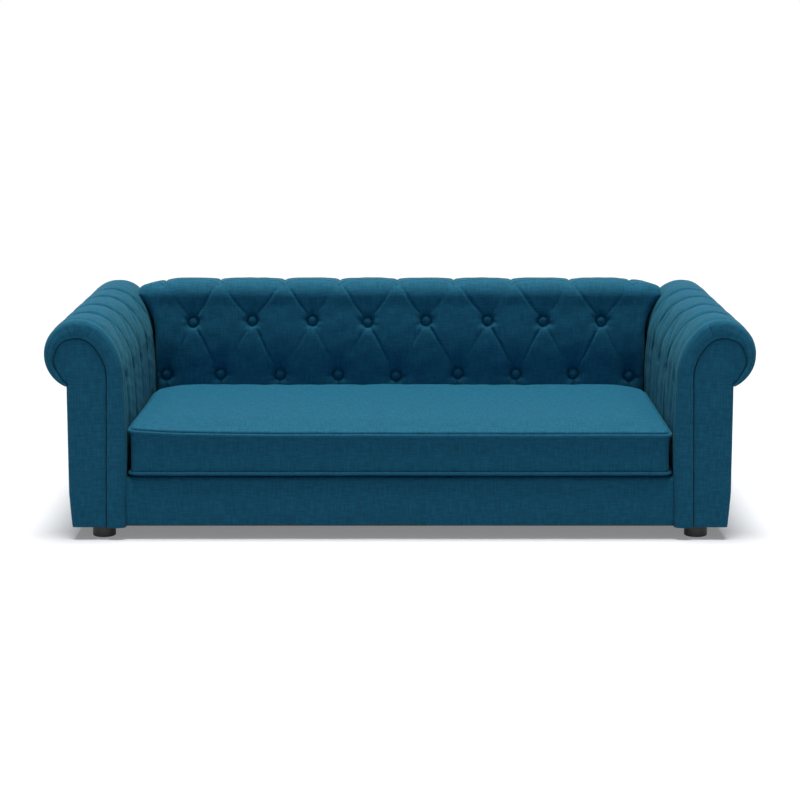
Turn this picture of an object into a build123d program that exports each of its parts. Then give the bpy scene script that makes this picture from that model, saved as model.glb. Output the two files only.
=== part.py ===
from build123d import *
import math
import os

os.makedirs("parts", exist_ok=True)

# A small chesterfield sofa bed for a dog, in millimetres. The origin is on the floor under the
# middle, +X is the viewer's right, the front faces -Y and +Z is up. Depths are counted from the
# front of the arms, and widths from the middle.

# Overall sizes. The tufts swell a little past the plain surfaces that these give.
sofa_width = 1000.0
sofa_depth = 520.0
back_height = 319.0
arm_height = 314.0
foot_height = 18.0
deck_height = 91.0

# Arm: a straight body with a round roll on top that hangs over the outer side
arm_body_width = 78.5
arm_overhang = 29.5
arm_roll_radius = 47.5
arm_crown = 3.0
arm_outer_tuck = 4.0
arm_tuck_height = 52.0
blend_angle = 135.0

# Arm tufting: channels over the roll, then diamonds down the inner side. From the notch under
# the roll, over the top and down the inner side, each station of the surface has its row of
# tufting and the share of the crease and of the pit that it takes.
channel_pitch = 93.0
first_crease_depth = 104.0
arm_lower_tuft_drop = 9.1
arm_seat_tuft_rise = 59.0
arm_crease_depth = 4.2
arm_pit_depth = 2.6
arm_end_drop = 2.5
arm_roll_station_angles = (-30.0, 8.0, 46.0, 84.0, 105.0, 125.0)
arm_blend_station_angle = 156.0
arm_row_shares = (0, 0, 0, 0, 0, 0, 0, 0.5, 1, 1.5, 2, 2, 2)
arm_crease_shares = (0.0, 0.12, 0.35, 0.75, 1.0, 1.0, 1.0, 1.0, 1.0, 1.0, 0.8, 0.5, 0.2)
arm_pit_shares = (0.0, 0.0, 0.0, 0.0, 0.0, 0.3, 1.0, 1.0, 1.0, 1.0, 0.6, 0.0, 0.0)

# Arm layers, from the outside in
arm_cover_thickness = 8.0
arm_foam_thickness = 14.0
arm_inner_panel_thickness = 5.0
arm_outer_cover_thickness = 3.0
arm_outer_panel_thickness = 3.5
arm_board_thickness = 12.0
arm_bottom_rail_thickness = 24.0
arm_front_thickness = 12.0
arm_rear_facing_thickness = 4.0

# Front facing of the arm and the padded border strip round it. The rounded edges are given by
# how far each step of them is drawn in and how far it stands back.
border_width_inner = 21.0
border_width_top = 23.0
border_width_outer = 11.5
border_round = 6.0
border_round_inset_shares = (0.7, 0.22, 0.0)
border_round_depth_shares = (0.0, 0.3, 1.0)
facing_setback = 1.0
facing_round = 8.0
facing_round_inset_shares = (1.0, 0.28, 0.0)
facing_round_depth_shares = (0.0, 0.2, 0.55)

# Back: a tufted pad between the arms, turned over the top and rolled over at the rear
back_thickness = 104.0
back_crown = 4.0
back_turn_radius = 36.0
back_roll_radius = 42.0
back_overhang = 26.0
back_end_clearance = 1.0
back_end_drop = 22.0
back_end_round = 30.0
back_end_shares = (0.07, 0.34, 0.57, 0.77, 0.9, 1.0)

# Back tufting: diamonds on the front, then channels over the top. Stations go from the seat up
# the front, over the top and down to the notch under the rear roll.
tuft_pitch = 92.3
tufts_each_side = 4
lower_tuft_rise = 82.0
upper_tuft_drop = 25.0
back_crease_depth = 4.4
back_pit_depth = 3.4
back_turn_station_angles = (172.0, 126.0, 95.0)
back_roll_station_angles = (85.0, 50.0, 10.0, -28.0)
back_row_shares = (0, 0, 0, 0.5, 1, 1.5, 2, 2, 2, 2, 2, 2, 2)
back_crease_shares = (0.3, 0.6, 1.0, 1.0, 1.0, 1.0, 1.0, 0.9, 0.8, 0.55, 0.3, 0.1, 0.0)
back_pit_shares = (0.0, 0.1, 1.0, 1.0, 1.0, 1.0, 0.6, 0.1, 0.0, 0.0, 0.0, 0.0, 0.0)
back_drop_shares = (0.1, 0.1, 0.15, 0.2, 0.3, 0.5, 0.8, 1.0, 1.0, 1.0, 0.8, 0.4, 0.0)
puff_power_share = 0.7
tuft_swell = 0.8

# Back layers and frame
back_cover_thickness = 8.0
back_foam_thickness = 14.0
back_board_thickness = 6.0
back_bottom_rail_height = 20.0
back_post_width = 20.0
back_top_rail_height = 62.0
back_rear_panel_thickness = 3.0
back_rear_cover_thickness = 1.0

# Covered buttons
button_radius = 7.7
button_height = 5.5
arm_button_radius = 6.5
arm_button_height = 4.5
button_rim_share = 0.35
button_seat_clearance = 0.4
button_seat_depth = 0.3

# Base box under the cushion
base_setback = 5.0
base_pad_thickness = 12.0
base_pad_round = 8.0
base_pad_crown = 1.5
base_pad_lift = 2.0
base_side_clearance = 0.5
base_rail_thickness = 18.0
deck_board_thickness = 8.0
deck_cover_thickness = 1.0
dust_cover_thickness = 0.8
dust_cover_margin = 6.0
dust_cover_clearance = 0.4

# Seat cushion: a boxed cushion with piping round its two edges
cushion_side_gap = 4.2
cushion_rear_gap = 1.8
cushion_setback = 3.5
cushion_side_height = 57.0
cushion_bottom_crown = 4.6
cushion_top_crown = 8.5
cushion_flat_depth = 183.5
cushion_front_corner = 12.0
cushion_rear_corner = 50.0
cushion_side_draw = 3.0
cushion_cover_thickness = 1.5
cushion_deck_clearance = 0.4
piping_radius = 2.4
cushion_low_rise_shares = (0.0, 0.4)
cushion_low_run_shares = (0.145, 0.05)
cushion_crown_rise_shares = (0.41, 0.71, 0.92, 1.0)
cushion_crown_run_shares = (0.08, 0.24, 0.55, 1.0)
cushion_corner_run_share = 0.4

# Zip in the rear of the cushion cover
zip_corner_gap = 31.6
zip_tape_height = 26.0
zip_tape_margin = 1.5
zip_tape_thickness = 0.6
zip_chain_width = 5.0
zip_chain_thickness = 1.6
zip_slider_length = 9.0
zip_slider_width = 8.0
zip_slider_plate = 0.8
zip_slider_clearance = 0.3
zip_end_margin = 8.0
bail_post_radius = 0.6
bail_spacing = 4.4
bail_gap = 1.4
bail_bar_thickness = 0.7
pull_length = 19.0
pull_width = 5.0
pull_neck_width = 3.4
pull_neck_length = 6.0
pull_thickness = 0.8
pull_eye_radius = 1.1

# Feet and fasteners
foot_radius = 16.5
foot_edge_round = 2.0
foot_from_inside = 33.0
foot_from_front = 34.0
foot_from_rear = 29.0
screw_radius = 2.0
screw_head_radius = 4.0
screw_head_height = 3.0
screw_recess_depth = 7.0
screw_recess_clearance = 0.6
screw_tip_cover = 4.0
bolt_radius = 3.0
bolt_head_radius = 6.5
bolt_head_height = 4.0
bolt_grip = 24.0
arm_bolt_shares = (0.2, 0.8)
back_bolt_shares = (-0.8, 0.0, 0.8)
hole_clearance = 0.05
overrun = 5.0

# Arm places
front_y = -sofa_depth / 2
arm_rear_y = sofa_depth / 2 - back_overhang
arm_outer_x = sofa_width / 2 - arm_overhang
arm_inner_x = arm_outer_x - arm_body_width
roll_x = sofa_width / 2 - arm_roll_radius
roll_z = arm_height - arm_roll_radius
blend_cos = math.cos(math.radians(blend_angle))
blend_sin = math.sin(math.radians(blend_angle))
blend_radius = (roll_x + arm_roll_radius * blend_cos - arm_inner_x) / (1 + blend_cos)
blend_x = arm_inner_x + blend_radius
blend_z = roll_z + (arm_roll_radius - blend_radius) * blend_sin
arm_core_inset = arm_cover_thickness + arm_foam_thickness
arm_side_inset = arm_outer_cover_thickness + arm_outer_panel_thickness
arm_boards_front_y = front_y + arm_front_thickness
arm_boards_rear_y = arm_rear_y - arm_rear_facing_thickness
arm_bay_front_y = arm_boards_front_y + arm_board_thickness
arm_bay_rear_y = arm_boards_rear_y - arm_board_thickness
arm_bay_length = arm_bay_rear_y - arm_bay_front_y
arm_rail_inner_x = arm_inner_x + arm_cover_thickness
arm_rail_outer_x = arm_outer_x - arm_side_inset
arm_rail_top_z = foot_height + arm_bottom_rail_thickness
first_crease_y = front_y + first_crease_depth
arm_lower_tuft_z = blend_z - arm_lower_tuft_drop
arm_seat_tuft_z = deck_height + arm_seat_tuft_rise

# Back places
back_front_y = sofa_depth / 2 - back_thickness
back_rear_y = arm_rear_y
back_turn_y = back_front_y + back_turn_radius
back_turn_z = back_height - back_turn_radius
back_roll_y = sofa_depth / 2 - back_roll_radius
back_roll_z = back_height - back_roll_radius
back_core_inset = back_cover_thickness + back_foam_thickness
back_side_inset = back_rear_panel_thickness + back_rear_cover_thickness
arm_reach = arm_crown + tuft_swell + back_end_clearance
back_half_width = arm_inner_x - arm_reach
back_end_start = arm_inner_x - back_end_round / 5
back_board_y = back_front_y + back_core_inset
back_frame_y = back_board_y + back_board_thickness
back_frame_rear_y = back_rear_y - back_side_inset
lower_tuft_z = deck_height + lower_tuft_rise
upper_tuft_z = back_turn_z - upper_tuft_drop
back_top_rail_z = back_height - back_core_inset - back_top_rail_height
button_seat_reach = 4 * button_height

# Base places
base_half_width = arm_inner_x - base_side_clearance
base_pad_y = front_y + base_setback
base_rail_y = base_pad_y + base_pad_thickness
deck_board_top_z = deck_height - deck_cover_thickness
deck_board_z = deck_board_top_z - deck_board_thickness

# Cushion and zip places
cushion_half_width = arm_inner_x - arm_crown - tuft_swell - cushion_side_gap - piping_radius
cushion_front_y = front_y + cushion_setback
cushion_rear_y = back_front_y - back_crown - tuft_swell - cushion_rear_gap - piping_radius
cushion_mid_y = (cushion_front_y + cushion_rear_y) / 2
cushion_length = cushion_rear_y - cushion_front_y
cushion_crown_run = (cushion_length - cushion_flat_depth) / 2
cushion_base_z = deck_height + cushion_deck_clearance
piping_low_z = cushion_base_z + cushion_bottom_crown
piping_high_z = piping_low_z + cushion_side_height
cushion_mid_z = (piping_low_z + piping_high_z) / 2
cushion_band_height = zip_tape_height + 2 * zip_tape_margin
zip_length = 2 * (cushion_half_width - cushion_rear_corner - zip_corner_gap)
zip_tape_y = cushion_rear_y - cushion_side_draw
zip_chain_y = zip_tape_y + zip_tape_thickness
zip_slider_y = zip_chain_y + zip_slider_clearance
zip_plate_y = zip_chain_y + zip_chain_thickness + zip_slider_clearance
zip_top_y = zip_plate_y + zip_slider_plate
zip_slider_x = (zip_length - zip_slider_length) / 2 - zip_end_margin
bail_post_x = zip_slider_x - bail_spacing / 2
pull_y = zip_top_y + (bail_gap - pull_thickness) / 2

# Foot and fastener places
foot_across = arm_inner_x + foot_from_inside
foot_front_y = front_y + foot_from_front
foot_rear_y = arm_rear_y - foot_from_rear
screw_recess_radius = screw_head_radius + screw_recess_clearance
screw_grip = arm_bottom_rail_thickness - screw_tip_cover
arm_bolt_z = (foot_height + arm_rail_top_z) / 2
arm_bolt_x = base_half_width - base_rail_thickness
back_bolt_y = back_frame_rear_y - base_rail_thickness / 2
back_bolt_z = deck_board_top_z + back_bottom_rail_height

sides = (("left", -1), ("right", 1))


def roll_point(angle, inset):
    """A point on the arm's roll, drawn in by the inset."""
    turn = math.radians(angle)
    reach = arm_roll_radius - inset
    return (roll_x + reach * math.cos(turn), roll_z + reach * math.sin(turn))


def blend_point(angle, inset):
    """A point on the hollow that joins the roll to the arm's inner face."""
    turn = math.radians(angle)
    reach = blend_radius - inset
    return (blend_x + reach * math.cos(turn), blend_z + reach * math.sin(turn))


def notch_angle(inset, side_inset):
    """Where the arm's roll, drawn in by the inset, meets the outer side."""
    across = (arm_outer_x - side_inset - roll_x) / (arm_roll_radius - inset)
    return -math.degrees(math.acos(across))


def handed(points, sign):
    """The points on the left or on the right arm."""
    return [(x * sign, z) for x, z in points]


def upright(y):
    """A plane across the sofa, drawn in X and Z, which extrudes towards the front."""
    return Plane(origin=(0, y, 0), x_dir=(1, 0, 0), z_dir=(0, -1, 0))


def draw_closed(lines_and_arcs, mode=Mode.ADD):
    """Draw a closed face from runs of two points, a line, or of three, an arc."""
    with BuildLine() as outline:
        for run in lines_and_arcs:
            if len(run) == 2:
                Line(*run)
            else:
                ThreePointArc(*run)
    make_face(outline.edges(), mode=mode)


def arm_outline(inset, side_inset, sign, mode=Mode.ADD):
    """The scroll outline of an arm's end, drawn in, as a face of the sketch in hand."""
    low_angle = notch_angle(inset, side_inset)
    high_angle = (blend_angle + low_angle) / 2
    inner = arm_inner_x + inset
    outer = arm_outer_x - side_inset
    points = handed(
        [
            (inner, foot_height),
            (inner, blend_z),
            blend_point((blend_angle + 180) / 2, inset),
            roll_point(blend_angle, inset),
            roll_point((blend_angle + high_angle) / 2, inset),
            roll_point(high_angle, inset),
            roll_point((high_angle + low_angle) / 2, inset),
            roll_point(low_angle, inset),
            (outer, foot_height + arm_tuck_height),
            (outer - arm_outer_tuck, foot_height),
        ],
        sign,
    )
    draw_closed(
        [
            points[0:2],
            points[1:4],
            points[3:6],
            points[5:8],
            points[7:9],
            points[8:10],
            [points[9], points[0]],
        ],
        mode,
    )


def facing_outline(inset, sign):
    """The panel inside the border's seam, drawn in, as a face of the sketch in hand."""
    inner = arm_inner_x + border_width_inner + inset
    outer = arm_outer_x - inset
    seam_outer = sofa_width / 2 - border_width_outer - inset
    top = arm_height - border_width_top - inset
    middle = (inner + seam_outer) / 2
    shoulder = (top + inset + blend_z - border_width_top + border_width_outer) / 2
    diagonal_share = math.sqrt(1 / 2)
    run = (seam_outer - middle) * diagonal_share
    rise = (top - shoulder) * diagonal_share
    notch_z = roll_point(notch_angle(0, 0), 0)[1] - inset
    tail = ((seam_outer + outer) / 2 + border_width_outer / 4, (shoulder + notch_z) / 2)
    points = handed(
        [
            (inner, foot_height + inset),
            (inner, shoulder),
            (middle - run, shoulder + rise),
            (middle, top),
            (middle + run, shoulder + rise),
            (seam_outer, shoulder),
            tail,
            (outer, notch_z),
            (outer, foot_height + arm_tuck_height),
            (outer - arm_outer_tuck, foot_height + inset),
        ],
        sign,
    )
    draw_closed(
        [
            points[0:2],
            points[1:4],
            points[3:6],
            points[5:8],
            points[7:9],
            points[8:10],
            [points[9], points[0]],
        ]
    )


def fullness(along, row):
    """How full a diamond is, from 0 on its creases to 1 in the middle."""
    level = min(max(row, 0), 2)
    rising = math.sin(math.pi * (along - level / 2))
    falling = math.sin(math.pi * (along + level / 2))
    return abs(rising * falling) ** puff_power_share


def nearness(along, row):
    """How near a place is to a tuft: 1 at the tuft, 0 half a crease away."""
    level = min(max(row, 0), 2)
    rising = math.cos(math.pi * (along - level / 2))
    falling = math.cos(math.pi * (along + level / 2))
    return abs(rising * falling)


def arm_side_bulge(z):
    """How far the arm's inner face stands out at a height."""
    rise_share = (z - deck_height) / (blend_z - deck_height)
    return arm_crown * math.sin(math.pi * rise_share)


def arm_stations():
    """Places on the plain arm surface, each with the direction that points out of it."""
    stations = []
    for angle in (notch_angle(0, 0),) + arm_roll_station_angles:
        turn = math.radians(angle)
        stations.append((roll_point(angle, 0), (math.cos(turn), math.sin(turn))))
    turn = math.radians(arm_blend_station_angle)
    place = blend_point(arm_blend_station_angle, 0)
    stations.append((place, (math.cos(turn), math.sin(turn))))
    heights = (
        arm_lower_tuft_z,
        (arm_lower_tuft_z + arm_seat_tuft_z) / 2,
        arm_seat_tuft_z,
        (arm_seat_tuft_z + deck_height) / 2,
        deck_height,
    )
    for z in heights:
        stations.append(((arm_inner_x - arm_side_bulge(z), z), (-1, 0)))
    return stations


def arm_section(y, sign, drop):
    """A cross-section of the arm's cover, with the part that the core takes out."""
    along = (y - first_crease_y) / channel_pitch
    surface = []
    for place, row, crease, pit in zip(
        arm_stations(), arm_row_shares, arm_crease_shares, arm_pit_shares
    ):
        (x, z), (out_x, out_z) = place
        full = fullness(along, row)
        inward = crease * (arm_crease_depth * (1 - full) - tuft_swell * full + drop)
        inward += arm_pit_depth * pit * nearness(along, row)
        surface.append((x - out_x * inward, z - out_z * inward))
    skirt = (arm_inner_x, foot_height)
    skirt_back = (arm_rail_inner_x, foot_height)
    waist = (arm_inner_x + arm_core_inset, blend_z)
    points = handed(surface + [skirt, skirt_back, waist], sign)
    last = len(surface) - 1
    runs = [points[start : start + 3] for start in range(0, last, 2)]
    runs += [points[last : last + 2], points[last + 1 : last + 3]]
    runs += [points[last + 2 : last + 4], [points[last + 3], points[0]]]
    with BuildSketch(upright(y)) as section:
        draw_closed(runs)
    return section.sketch


def arm_section_places():
    """Depths of the cover's sections: both ends and each quarter of a channel between."""
    quarter = channel_pitch / 4
    before = math.floor((first_crease_y - arm_boards_front_y) / quarter - 1 / 4)
    places = []
    y = first_crease_y - before * quarter
    while y < arm_boards_rear_y - quarter / 4:
        places.append((y, 0))
        y += quarter
    return [(arm_boards_front_y, arm_end_drop)] + places + [(arm_boards_rear_y, arm_end_drop)]


def arm_tuft_places():
    """Depths of the tufts in the arm's inner side, midway between the creases."""
    places = []
    y = first_crease_y - channel_pitch / 2
    while y < arm_boards_rear_y - channel_pitch / 2:
        places.append(y)
        y += channel_pitch
    return places


def arm_button_seat_x():
    """How far across the seats of the arm's buttons lie."""
    surface = arm_inner_x - arm_side_bulge(arm_lower_tuft_z)
    return surface + arm_crease_depth + arm_pit_depth + button_seat_depth


def back_outline(inset, side_inset, mode=Mode.ADD):
    """The back's profile in Y and Z, drawn in, as a face of the sketch in hand."""
    reach = back_roll_radius - inset
    low_turn = -math.acos((back_rear_y - side_inset - back_roll_y) / reach)
    high_turn = math.pi / 2
    middle_turn = (high_turn + low_turn) / 2
    turn_reach = back_turn_radius - inset
    diagonal = turn_reach * math.sqrt(1 / 2)

    def roll(turn):
        return (back_roll_y + reach * math.cos(turn), back_roll_z + reach * math.sin(turn))

    front = (back_front_y + inset, deck_board_top_z)
    front_top = (back_front_y + inset, back_turn_z)
    turn_middle = (back_turn_y - diagonal, back_turn_z + diagonal)
    turn_top = (back_turn_y, back_height - inset)
    rear = (back_rear_y - side_inset, deck_board_top_z)
    draw_closed(
        [
            (front, front_top),
            (front_top, turn_middle, turn_top),
            (turn_top, roll(high_turn)),
            (roll(high_turn), roll(middle_turn), roll(low_turn)),
            (roll(low_turn), rear),
            (rear, front),
        ],
        mode,
    )


def back_bulge(z):
    """How far the back's front face stands out at a height."""
    rise_share = (z - deck_height) / (back_turn_z - deck_height)
    return back_crown * math.sin(math.pi * rise_share)


def back_stations():
    """Places on the plain back surface, each with the direction that points out of it."""
    stations = []
    heights = (
        deck_height,
        (deck_height + lower_tuft_z) / 2,
        lower_tuft_z,
        (lower_tuft_z + upper_tuft_z) / 2,
        upper_tuft_z,
    )
    for z in heights:
        stations.append(((back_front_y - back_bulge(z), z), (-1, 0)))
    notch = -math.degrees(math.acos((back_rear_y - back_roll_y) / back_roll_radius))
    arcs = [(back_turn_y, back_turn_z, back_turn_radius, back_turn_station_angles)]
    arcs.append((back_roll_y, back_roll_z, back_roll_radius, back_roll_station_angles + (notch,)))
    for centre_y, centre_z, radius, angles in arcs:
        for angle in angles:
            out = (math.cos(math.radians(angle)), math.sin(math.radians(angle)))
            place = (centre_y + radius * out[0], centre_z + radius * out[1])
            stations.append((place, out))
    return stations


def back_section(x):
    """A cross-section of the back's cover, with the part that the core takes out."""
    along = x / tuft_pitch
    past_share = max(0, (abs(x) - back_end_start) / back_end_round)
    drop = back_end_drop * (1 - math.sqrt(max(0, 1 - past_share**2)))
    surface = []
    for place, row, crease, pit, drop_share in zip(
        back_stations(), back_row_shares, back_crease_shares, back_pit_shares, back_drop_shares
    ):
        (y, z), (out_y, out_z) = place
        full = fullness(along, row)
        inward = crease * (back_crease_depth * (1 - full) - tuft_swell * full)
        inward += back_pit_depth * pit * nearness(along, row) + drop * drop_share
        surface.append((y - out_y * inward, z - out_z * inward))
    waist = (back_board_y, surface[-1][1])
    foot = (back_front_y + back_cover_thickness, deck_height)
    points = surface + [waist, foot]
    last = len(surface) - 1
    runs = [points[start : start + 3] for start in range(0, last, 2)]
    runs += [points[last : last + 2], points[last + 1 : last + 3], [foot, points[0]]]
    with BuildSketch(Plane.YZ.offset(x)) as section:
        draw_closed(runs)
    return section.sketch


def back_section_places():
    """Widths of the back's sections: each quarter of a tuft, then the rounded ends."""
    count = math.floor(back_end_start / (tuft_pitch / 4))
    inner = [tuft_pitch / 4 * step for step in range(-count, count + 1)]
    ends = [back_end_start + back_end_round * share for share in back_end_shares]
    return [-x for x in reversed(ends)] + inner + ends


def back_tuft_places(row):
    """Across places of a row of tufts: the upper row is half a pitch off the lower one."""
    if row == "upper":
        steps = [step + 1 / 2 for step in range(-tufts_each_side, tufts_each_side)]
    else:
        steps = list(range(-tufts_each_side, tufts_each_side + 1))
    return [step * tuft_pitch for step in steps]


def back_button_seat_y(z):
    """How deep the seats of a row of the back's buttons lie."""
    surface = back_front_y - back_bulge(z)
    return surface + back_crease_depth + back_pit_depth + button_seat_depth


def button(seat, outward, radius, height):
    """A covered button: a flat back, a short rim and a domed face."""
    rim = height * button_rim_share
    dome = (radius**2 + (height - rim) ** 2) / (2 * (height - rim))
    bend = (height - dome + math.sqrt(dome**2 - radius**2 / 4), radius / 2)
    with BuildSketch(Plane(origin=seat, x_dir=outward, z_dir=(0, 0, 1))) as half:
        draw_closed(
            [
                ((0, 0), (0, radius)),
                ((0, radius), (rim, radius)),
                ((rim, radius), bend, (height, 0)),
                ((height, 0), (0, 0)),
            ]
        )
    revolve(half.sketch, axis=Axis(seat, outward), clean=False)


def button_seat(seat, outward, radius):
    """The round hollow that a button lies in."""
    with BuildSketch(Plane(origin=seat, z_dir=outward)) as hollow:
        Circle(radius + button_seat_clearance)
    extrude(hollow.sketch, amount=button_seat_reach, mode=Mode.SUBTRACT)


def box_between(x_range, y_range, z_range):
    """A plain board or rail between its faces."""
    with BuildSketch(Plane.XY.offset(z_range[0])) as floor:
        with Locations((sum(x_range) / 2, sum(y_range) / 2)):
            Rectangle(x_range[1] - x_range[0], y_range[1] - y_range[0])
    extrude(floor.sketch, amount=z_range[1] - z_range[0])


def across(inner, outer, sign):
    """A range of X on the left or on the right, low end first."""
    return tuple(sorted((inner * sign, outer * sign)))


def arm_bolt_holes(sign, x_range):
    """Holes for the bolts that hold an arm to the base."""
    for share in arm_bolt_shares:
        y = arm_bay_front_y + arm_bay_length * share
        mouth = Plane(origin=(x_range[0] * sign, y, arm_bolt_z), z_dir=(sign, 0, 0))
        with BuildSketch(mouth) as hole:
            Circle(bolt_radius + hole_clearance)
        extrude(hole.sketch, amount=x_range[1] - x_range[0], mode=Mode.SUBTRACT)


def back_bolt_holes(z_range):
    """Holes for the bolts that hold the back down on the base."""
    with BuildSketch(Plane.XY.offset(z_range[0])) as holes:
        with Locations(*[(share * back_half_width, back_bolt_y) for share in back_bolt_shares]):
            Circle(bolt_radius + hole_clearance)
    extrude(holes.sketch, amount=z_range[1] - z_range[0], mode=Mode.SUBTRACT)


# Arms
for side, sign in sides:
    with BuildPart() as arm_front_board:
        with BuildSketch(upright(arm_bay_front_y)):
            arm_outline(arm_cover_thickness, arm_side_inset, sign)
        extrude(amount=arm_board_thickness)
    arm_front_board.part.label = f"arm_front_board_{side}"
    export_step(arm_front_board.part, f"parts/arm_front_board_{side}.step")

    with BuildPart() as arm_rear_board:
        with BuildSketch(upright(arm_boards_rear_y)):
            arm_outline(arm_cover_thickness, arm_side_inset, sign)
        extrude(amount=arm_board_thickness)
    arm_rear_board.part.label = f"arm_rear_board_{side}"
    export_step(arm_rear_board.part, f"parts/arm_rear_board_{side}.step")

    with BuildPart() as arm_bottom_rail:
        box_between(
            across(arm_rail_inner_x, arm_rail_outer_x - arm_outer_tuck, sign),
            (arm_bay_front_y, arm_bay_rear_y),
            (foot_height, arm_rail_top_z),
        )
        arm_bolt_holes(sign, (arm_rail_inner_x, arm_rail_inner_x + bolt_grip))
        with BuildSketch(Plane.XY.offset(foot_height)):
            with Locations((foot_across * sign, foot_front_y), (foot_across * sign, foot_rear_y)):
                Circle(screw_radius + hole_clearance)
        extrude(amount=screw_grip, mode=Mode.SUBTRACT)
    arm_bottom_rail.part.label = f"arm_bottom_rail_{side}"
    export_step(arm_bottom_rail.part, f"parts/arm_bottom_rail_{side}.step")

    with BuildPart() as arm_roll_rail:
        with BuildSketch(upright(arm_bay_rear_y)):
            with Locations((roll_x * sign, roll_z)):
                Circle(arm_roll_radius - arm_core_inset)
        extrude(amount=arm_bay_length)
    arm_roll_rail.part.label = f"arm_roll_rail_{side}"
    export_step(arm_roll_rail.part, f"parts/arm_roll_rail_{side}.step")

    with BuildPart() as arm_inner_panel:
        panel_x = arm_inner_x + arm_core_inset
        box_between(
            across(panel_x, panel_x + arm_inner_panel_thickness, sign),
            (arm_bay_front_y, arm_bay_rear_y),
            (arm_rail_top_z, blend_z),
        )
    arm_inner_panel.part.label = f"arm_inner_panel_{side}"
    export_step(arm_inner_panel.part, f"parts/arm_inner_panel_{side}.step")

    with BuildPart() as arm_foam:
        with BuildSketch(upright(arm_bay_rear_y)):
            arm_outline(arm_cover_thickness, arm_cover_thickness, sign)
            arm_outline(arm_core_inset, arm_core_inset, sign, Mode.SUBTRACT)
            under_roll_z = roll_z - arm_roll_radius + arm_core_inset
            with Locations(((roll_x + arm_overhang) * sign, under_roll_z / 2)):
                Rectangle(2 * arm_overhang + arm_core_inset, under_roll_z, mode=Mode.SUBTRACT)
            with Locations((roll_x * sign, arm_rail_top_z / 2)):
                Rectangle(2 * arm_body_width, arm_rail_top_z, mode=Mode.SUBTRACT)
        extrude(amount=arm_bay_length)
    arm_foam.part.label = f"arm_foam_{side}"
    export_step(arm_foam.part, f"parts/arm_foam_{side}.step")

    with BuildPart() as arm_cover:
        loft([arm_section(y, sign, drop) for y, drop in arm_section_places()], ruled=True)
        with BuildSketch(upright(arm_boards_rear_y + overrun)):
            arm_outline(arm_cover_thickness, arm_side_inset, sign)
        extrude(amount=arm_boards_rear_y - arm_boards_front_y + 2 * overrun, mode=Mode.SUBTRACT)
        for y in arm_tuft_places():
            seat = (arm_button_seat_x() * sign, y, arm_lower_tuft_z)
            button_seat(seat, (-sign, 0, 0), arm_button_radius)
        arm_bolt_holes(sign, (arm_inner_x - overrun, arm_rail_inner_x + overrun))
    arm_cover.part.label = f"arm_cover_{side}"
    export_step(arm_cover.part, f"parts/arm_cover_{side}.step")

    with BuildPart() as arm_outer_panel:
        top_z = roll_point(notch_angle(0, arm_side_inset), 0)[1]
        box_between(
            across(arm_outer_x - arm_side_inset, arm_outer_x - arm_outer_cover_thickness, sign),
            (arm_boards_front_y, arm_boards_rear_y),
            (foot_height + arm_tuck_height, top_z),
        )
    arm_outer_panel.part.label = f"arm_outer_panel_{side}"
    export_step(arm_outer_panel.part, f"parts/arm_outer_panel_{side}.step")

    with BuildPart() as arm_outer_cover:
        inner = arm_outer_x - arm_outer_cover_thickness
        tuck_z = foot_height + arm_tuck_height
        section = handed(
            [
                (inner, top_z),
                (arm_outer_x, top_z),
                (arm_outer_x, tuck_z),
                (arm_outer_x - arm_outer_tuck, foot_height),
                (inner - arm_outer_tuck, foot_height),
                (inner, tuck_z),
            ],
            sign,
        )
        with BuildSketch(upright(arm_boards_rear_y)):
            draw_closed([(a, b) for a, b in zip(section, section[1:] + section[:1])])
        extrude(amount=arm_boards_rear_y - arm_boards_front_y)
    arm_outer_cover.part.label = f"arm_outer_cover_{side}"
    export_step(arm_outer_cover.part, f"parts/arm_outer_cover_{side}.step")

    with BuildPart() as arm_rear_facing:
        with BuildSketch(upright(arm_rear_y)):
            arm_outline(0, 0, sign)
        extrude(amount=arm_rear_facing_thickness)
    arm_rear_facing.part.label = f"arm_rear_facing_{side}"
    export_step(arm_rear_facing.part, f"parts/arm_rear_facing_{side}.step")

    with BuildPart() as arm_front_border:
        for inset_share, depth_share in zip(border_round_inset_shares, border_round_depth_shares):
            with BuildSketch(upright(front_y + border_round * depth_share)):
                arm_outline(border_round * inset_share, border_round * inset_share, sign)
        with BuildSketch(upright(arm_boards_front_y)):
            arm_outline(0, 0, sign)
        loft(ruled=True)
        with BuildSketch(upright(arm_boards_front_y + overrun)):
            facing_outline(0, sign)
        extrude(amount=arm_front_thickness + 2 * overrun, mode=Mode.SUBTRACT)
    arm_front_border.part.label = f"arm_front_border_{side}"
    export_step(arm_front_border.part, f"parts/arm_front_border_{side}.step")

    with BuildPart() as arm_front_facing:
        for inset_share, depth_share in zip(facing_round_inset_shares, facing_round_depth_shares):
            with BuildSketch(upright(front_y + facing_setback + facing_round * depth_share)):
                facing_outline(facing_round * inset_share, sign)
        with BuildSketch(upright(arm_boards_front_y)):
            facing_outline(0, sign)
        loft(ruled=True)
    arm_front_facing.part.label = f"arm_front_facing_{side}"
    export_step(arm_front_facing.part, f"parts/arm_front_facing_{side}.step")

with BuildPart() as arm_buttons:
    for side, sign in sides:
        for y in arm_tuft_places():
            seat = (arm_button_seat_x() * sign, y, arm_lower_tuft_z)
            button(seat, (-sign, 0, 0), arm_button_radius, arm_button_height)
arm_buttons.part.label = "arm_buttons"
export_step(arm_buttons.part, "parts/arm_buttons.step")

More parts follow.
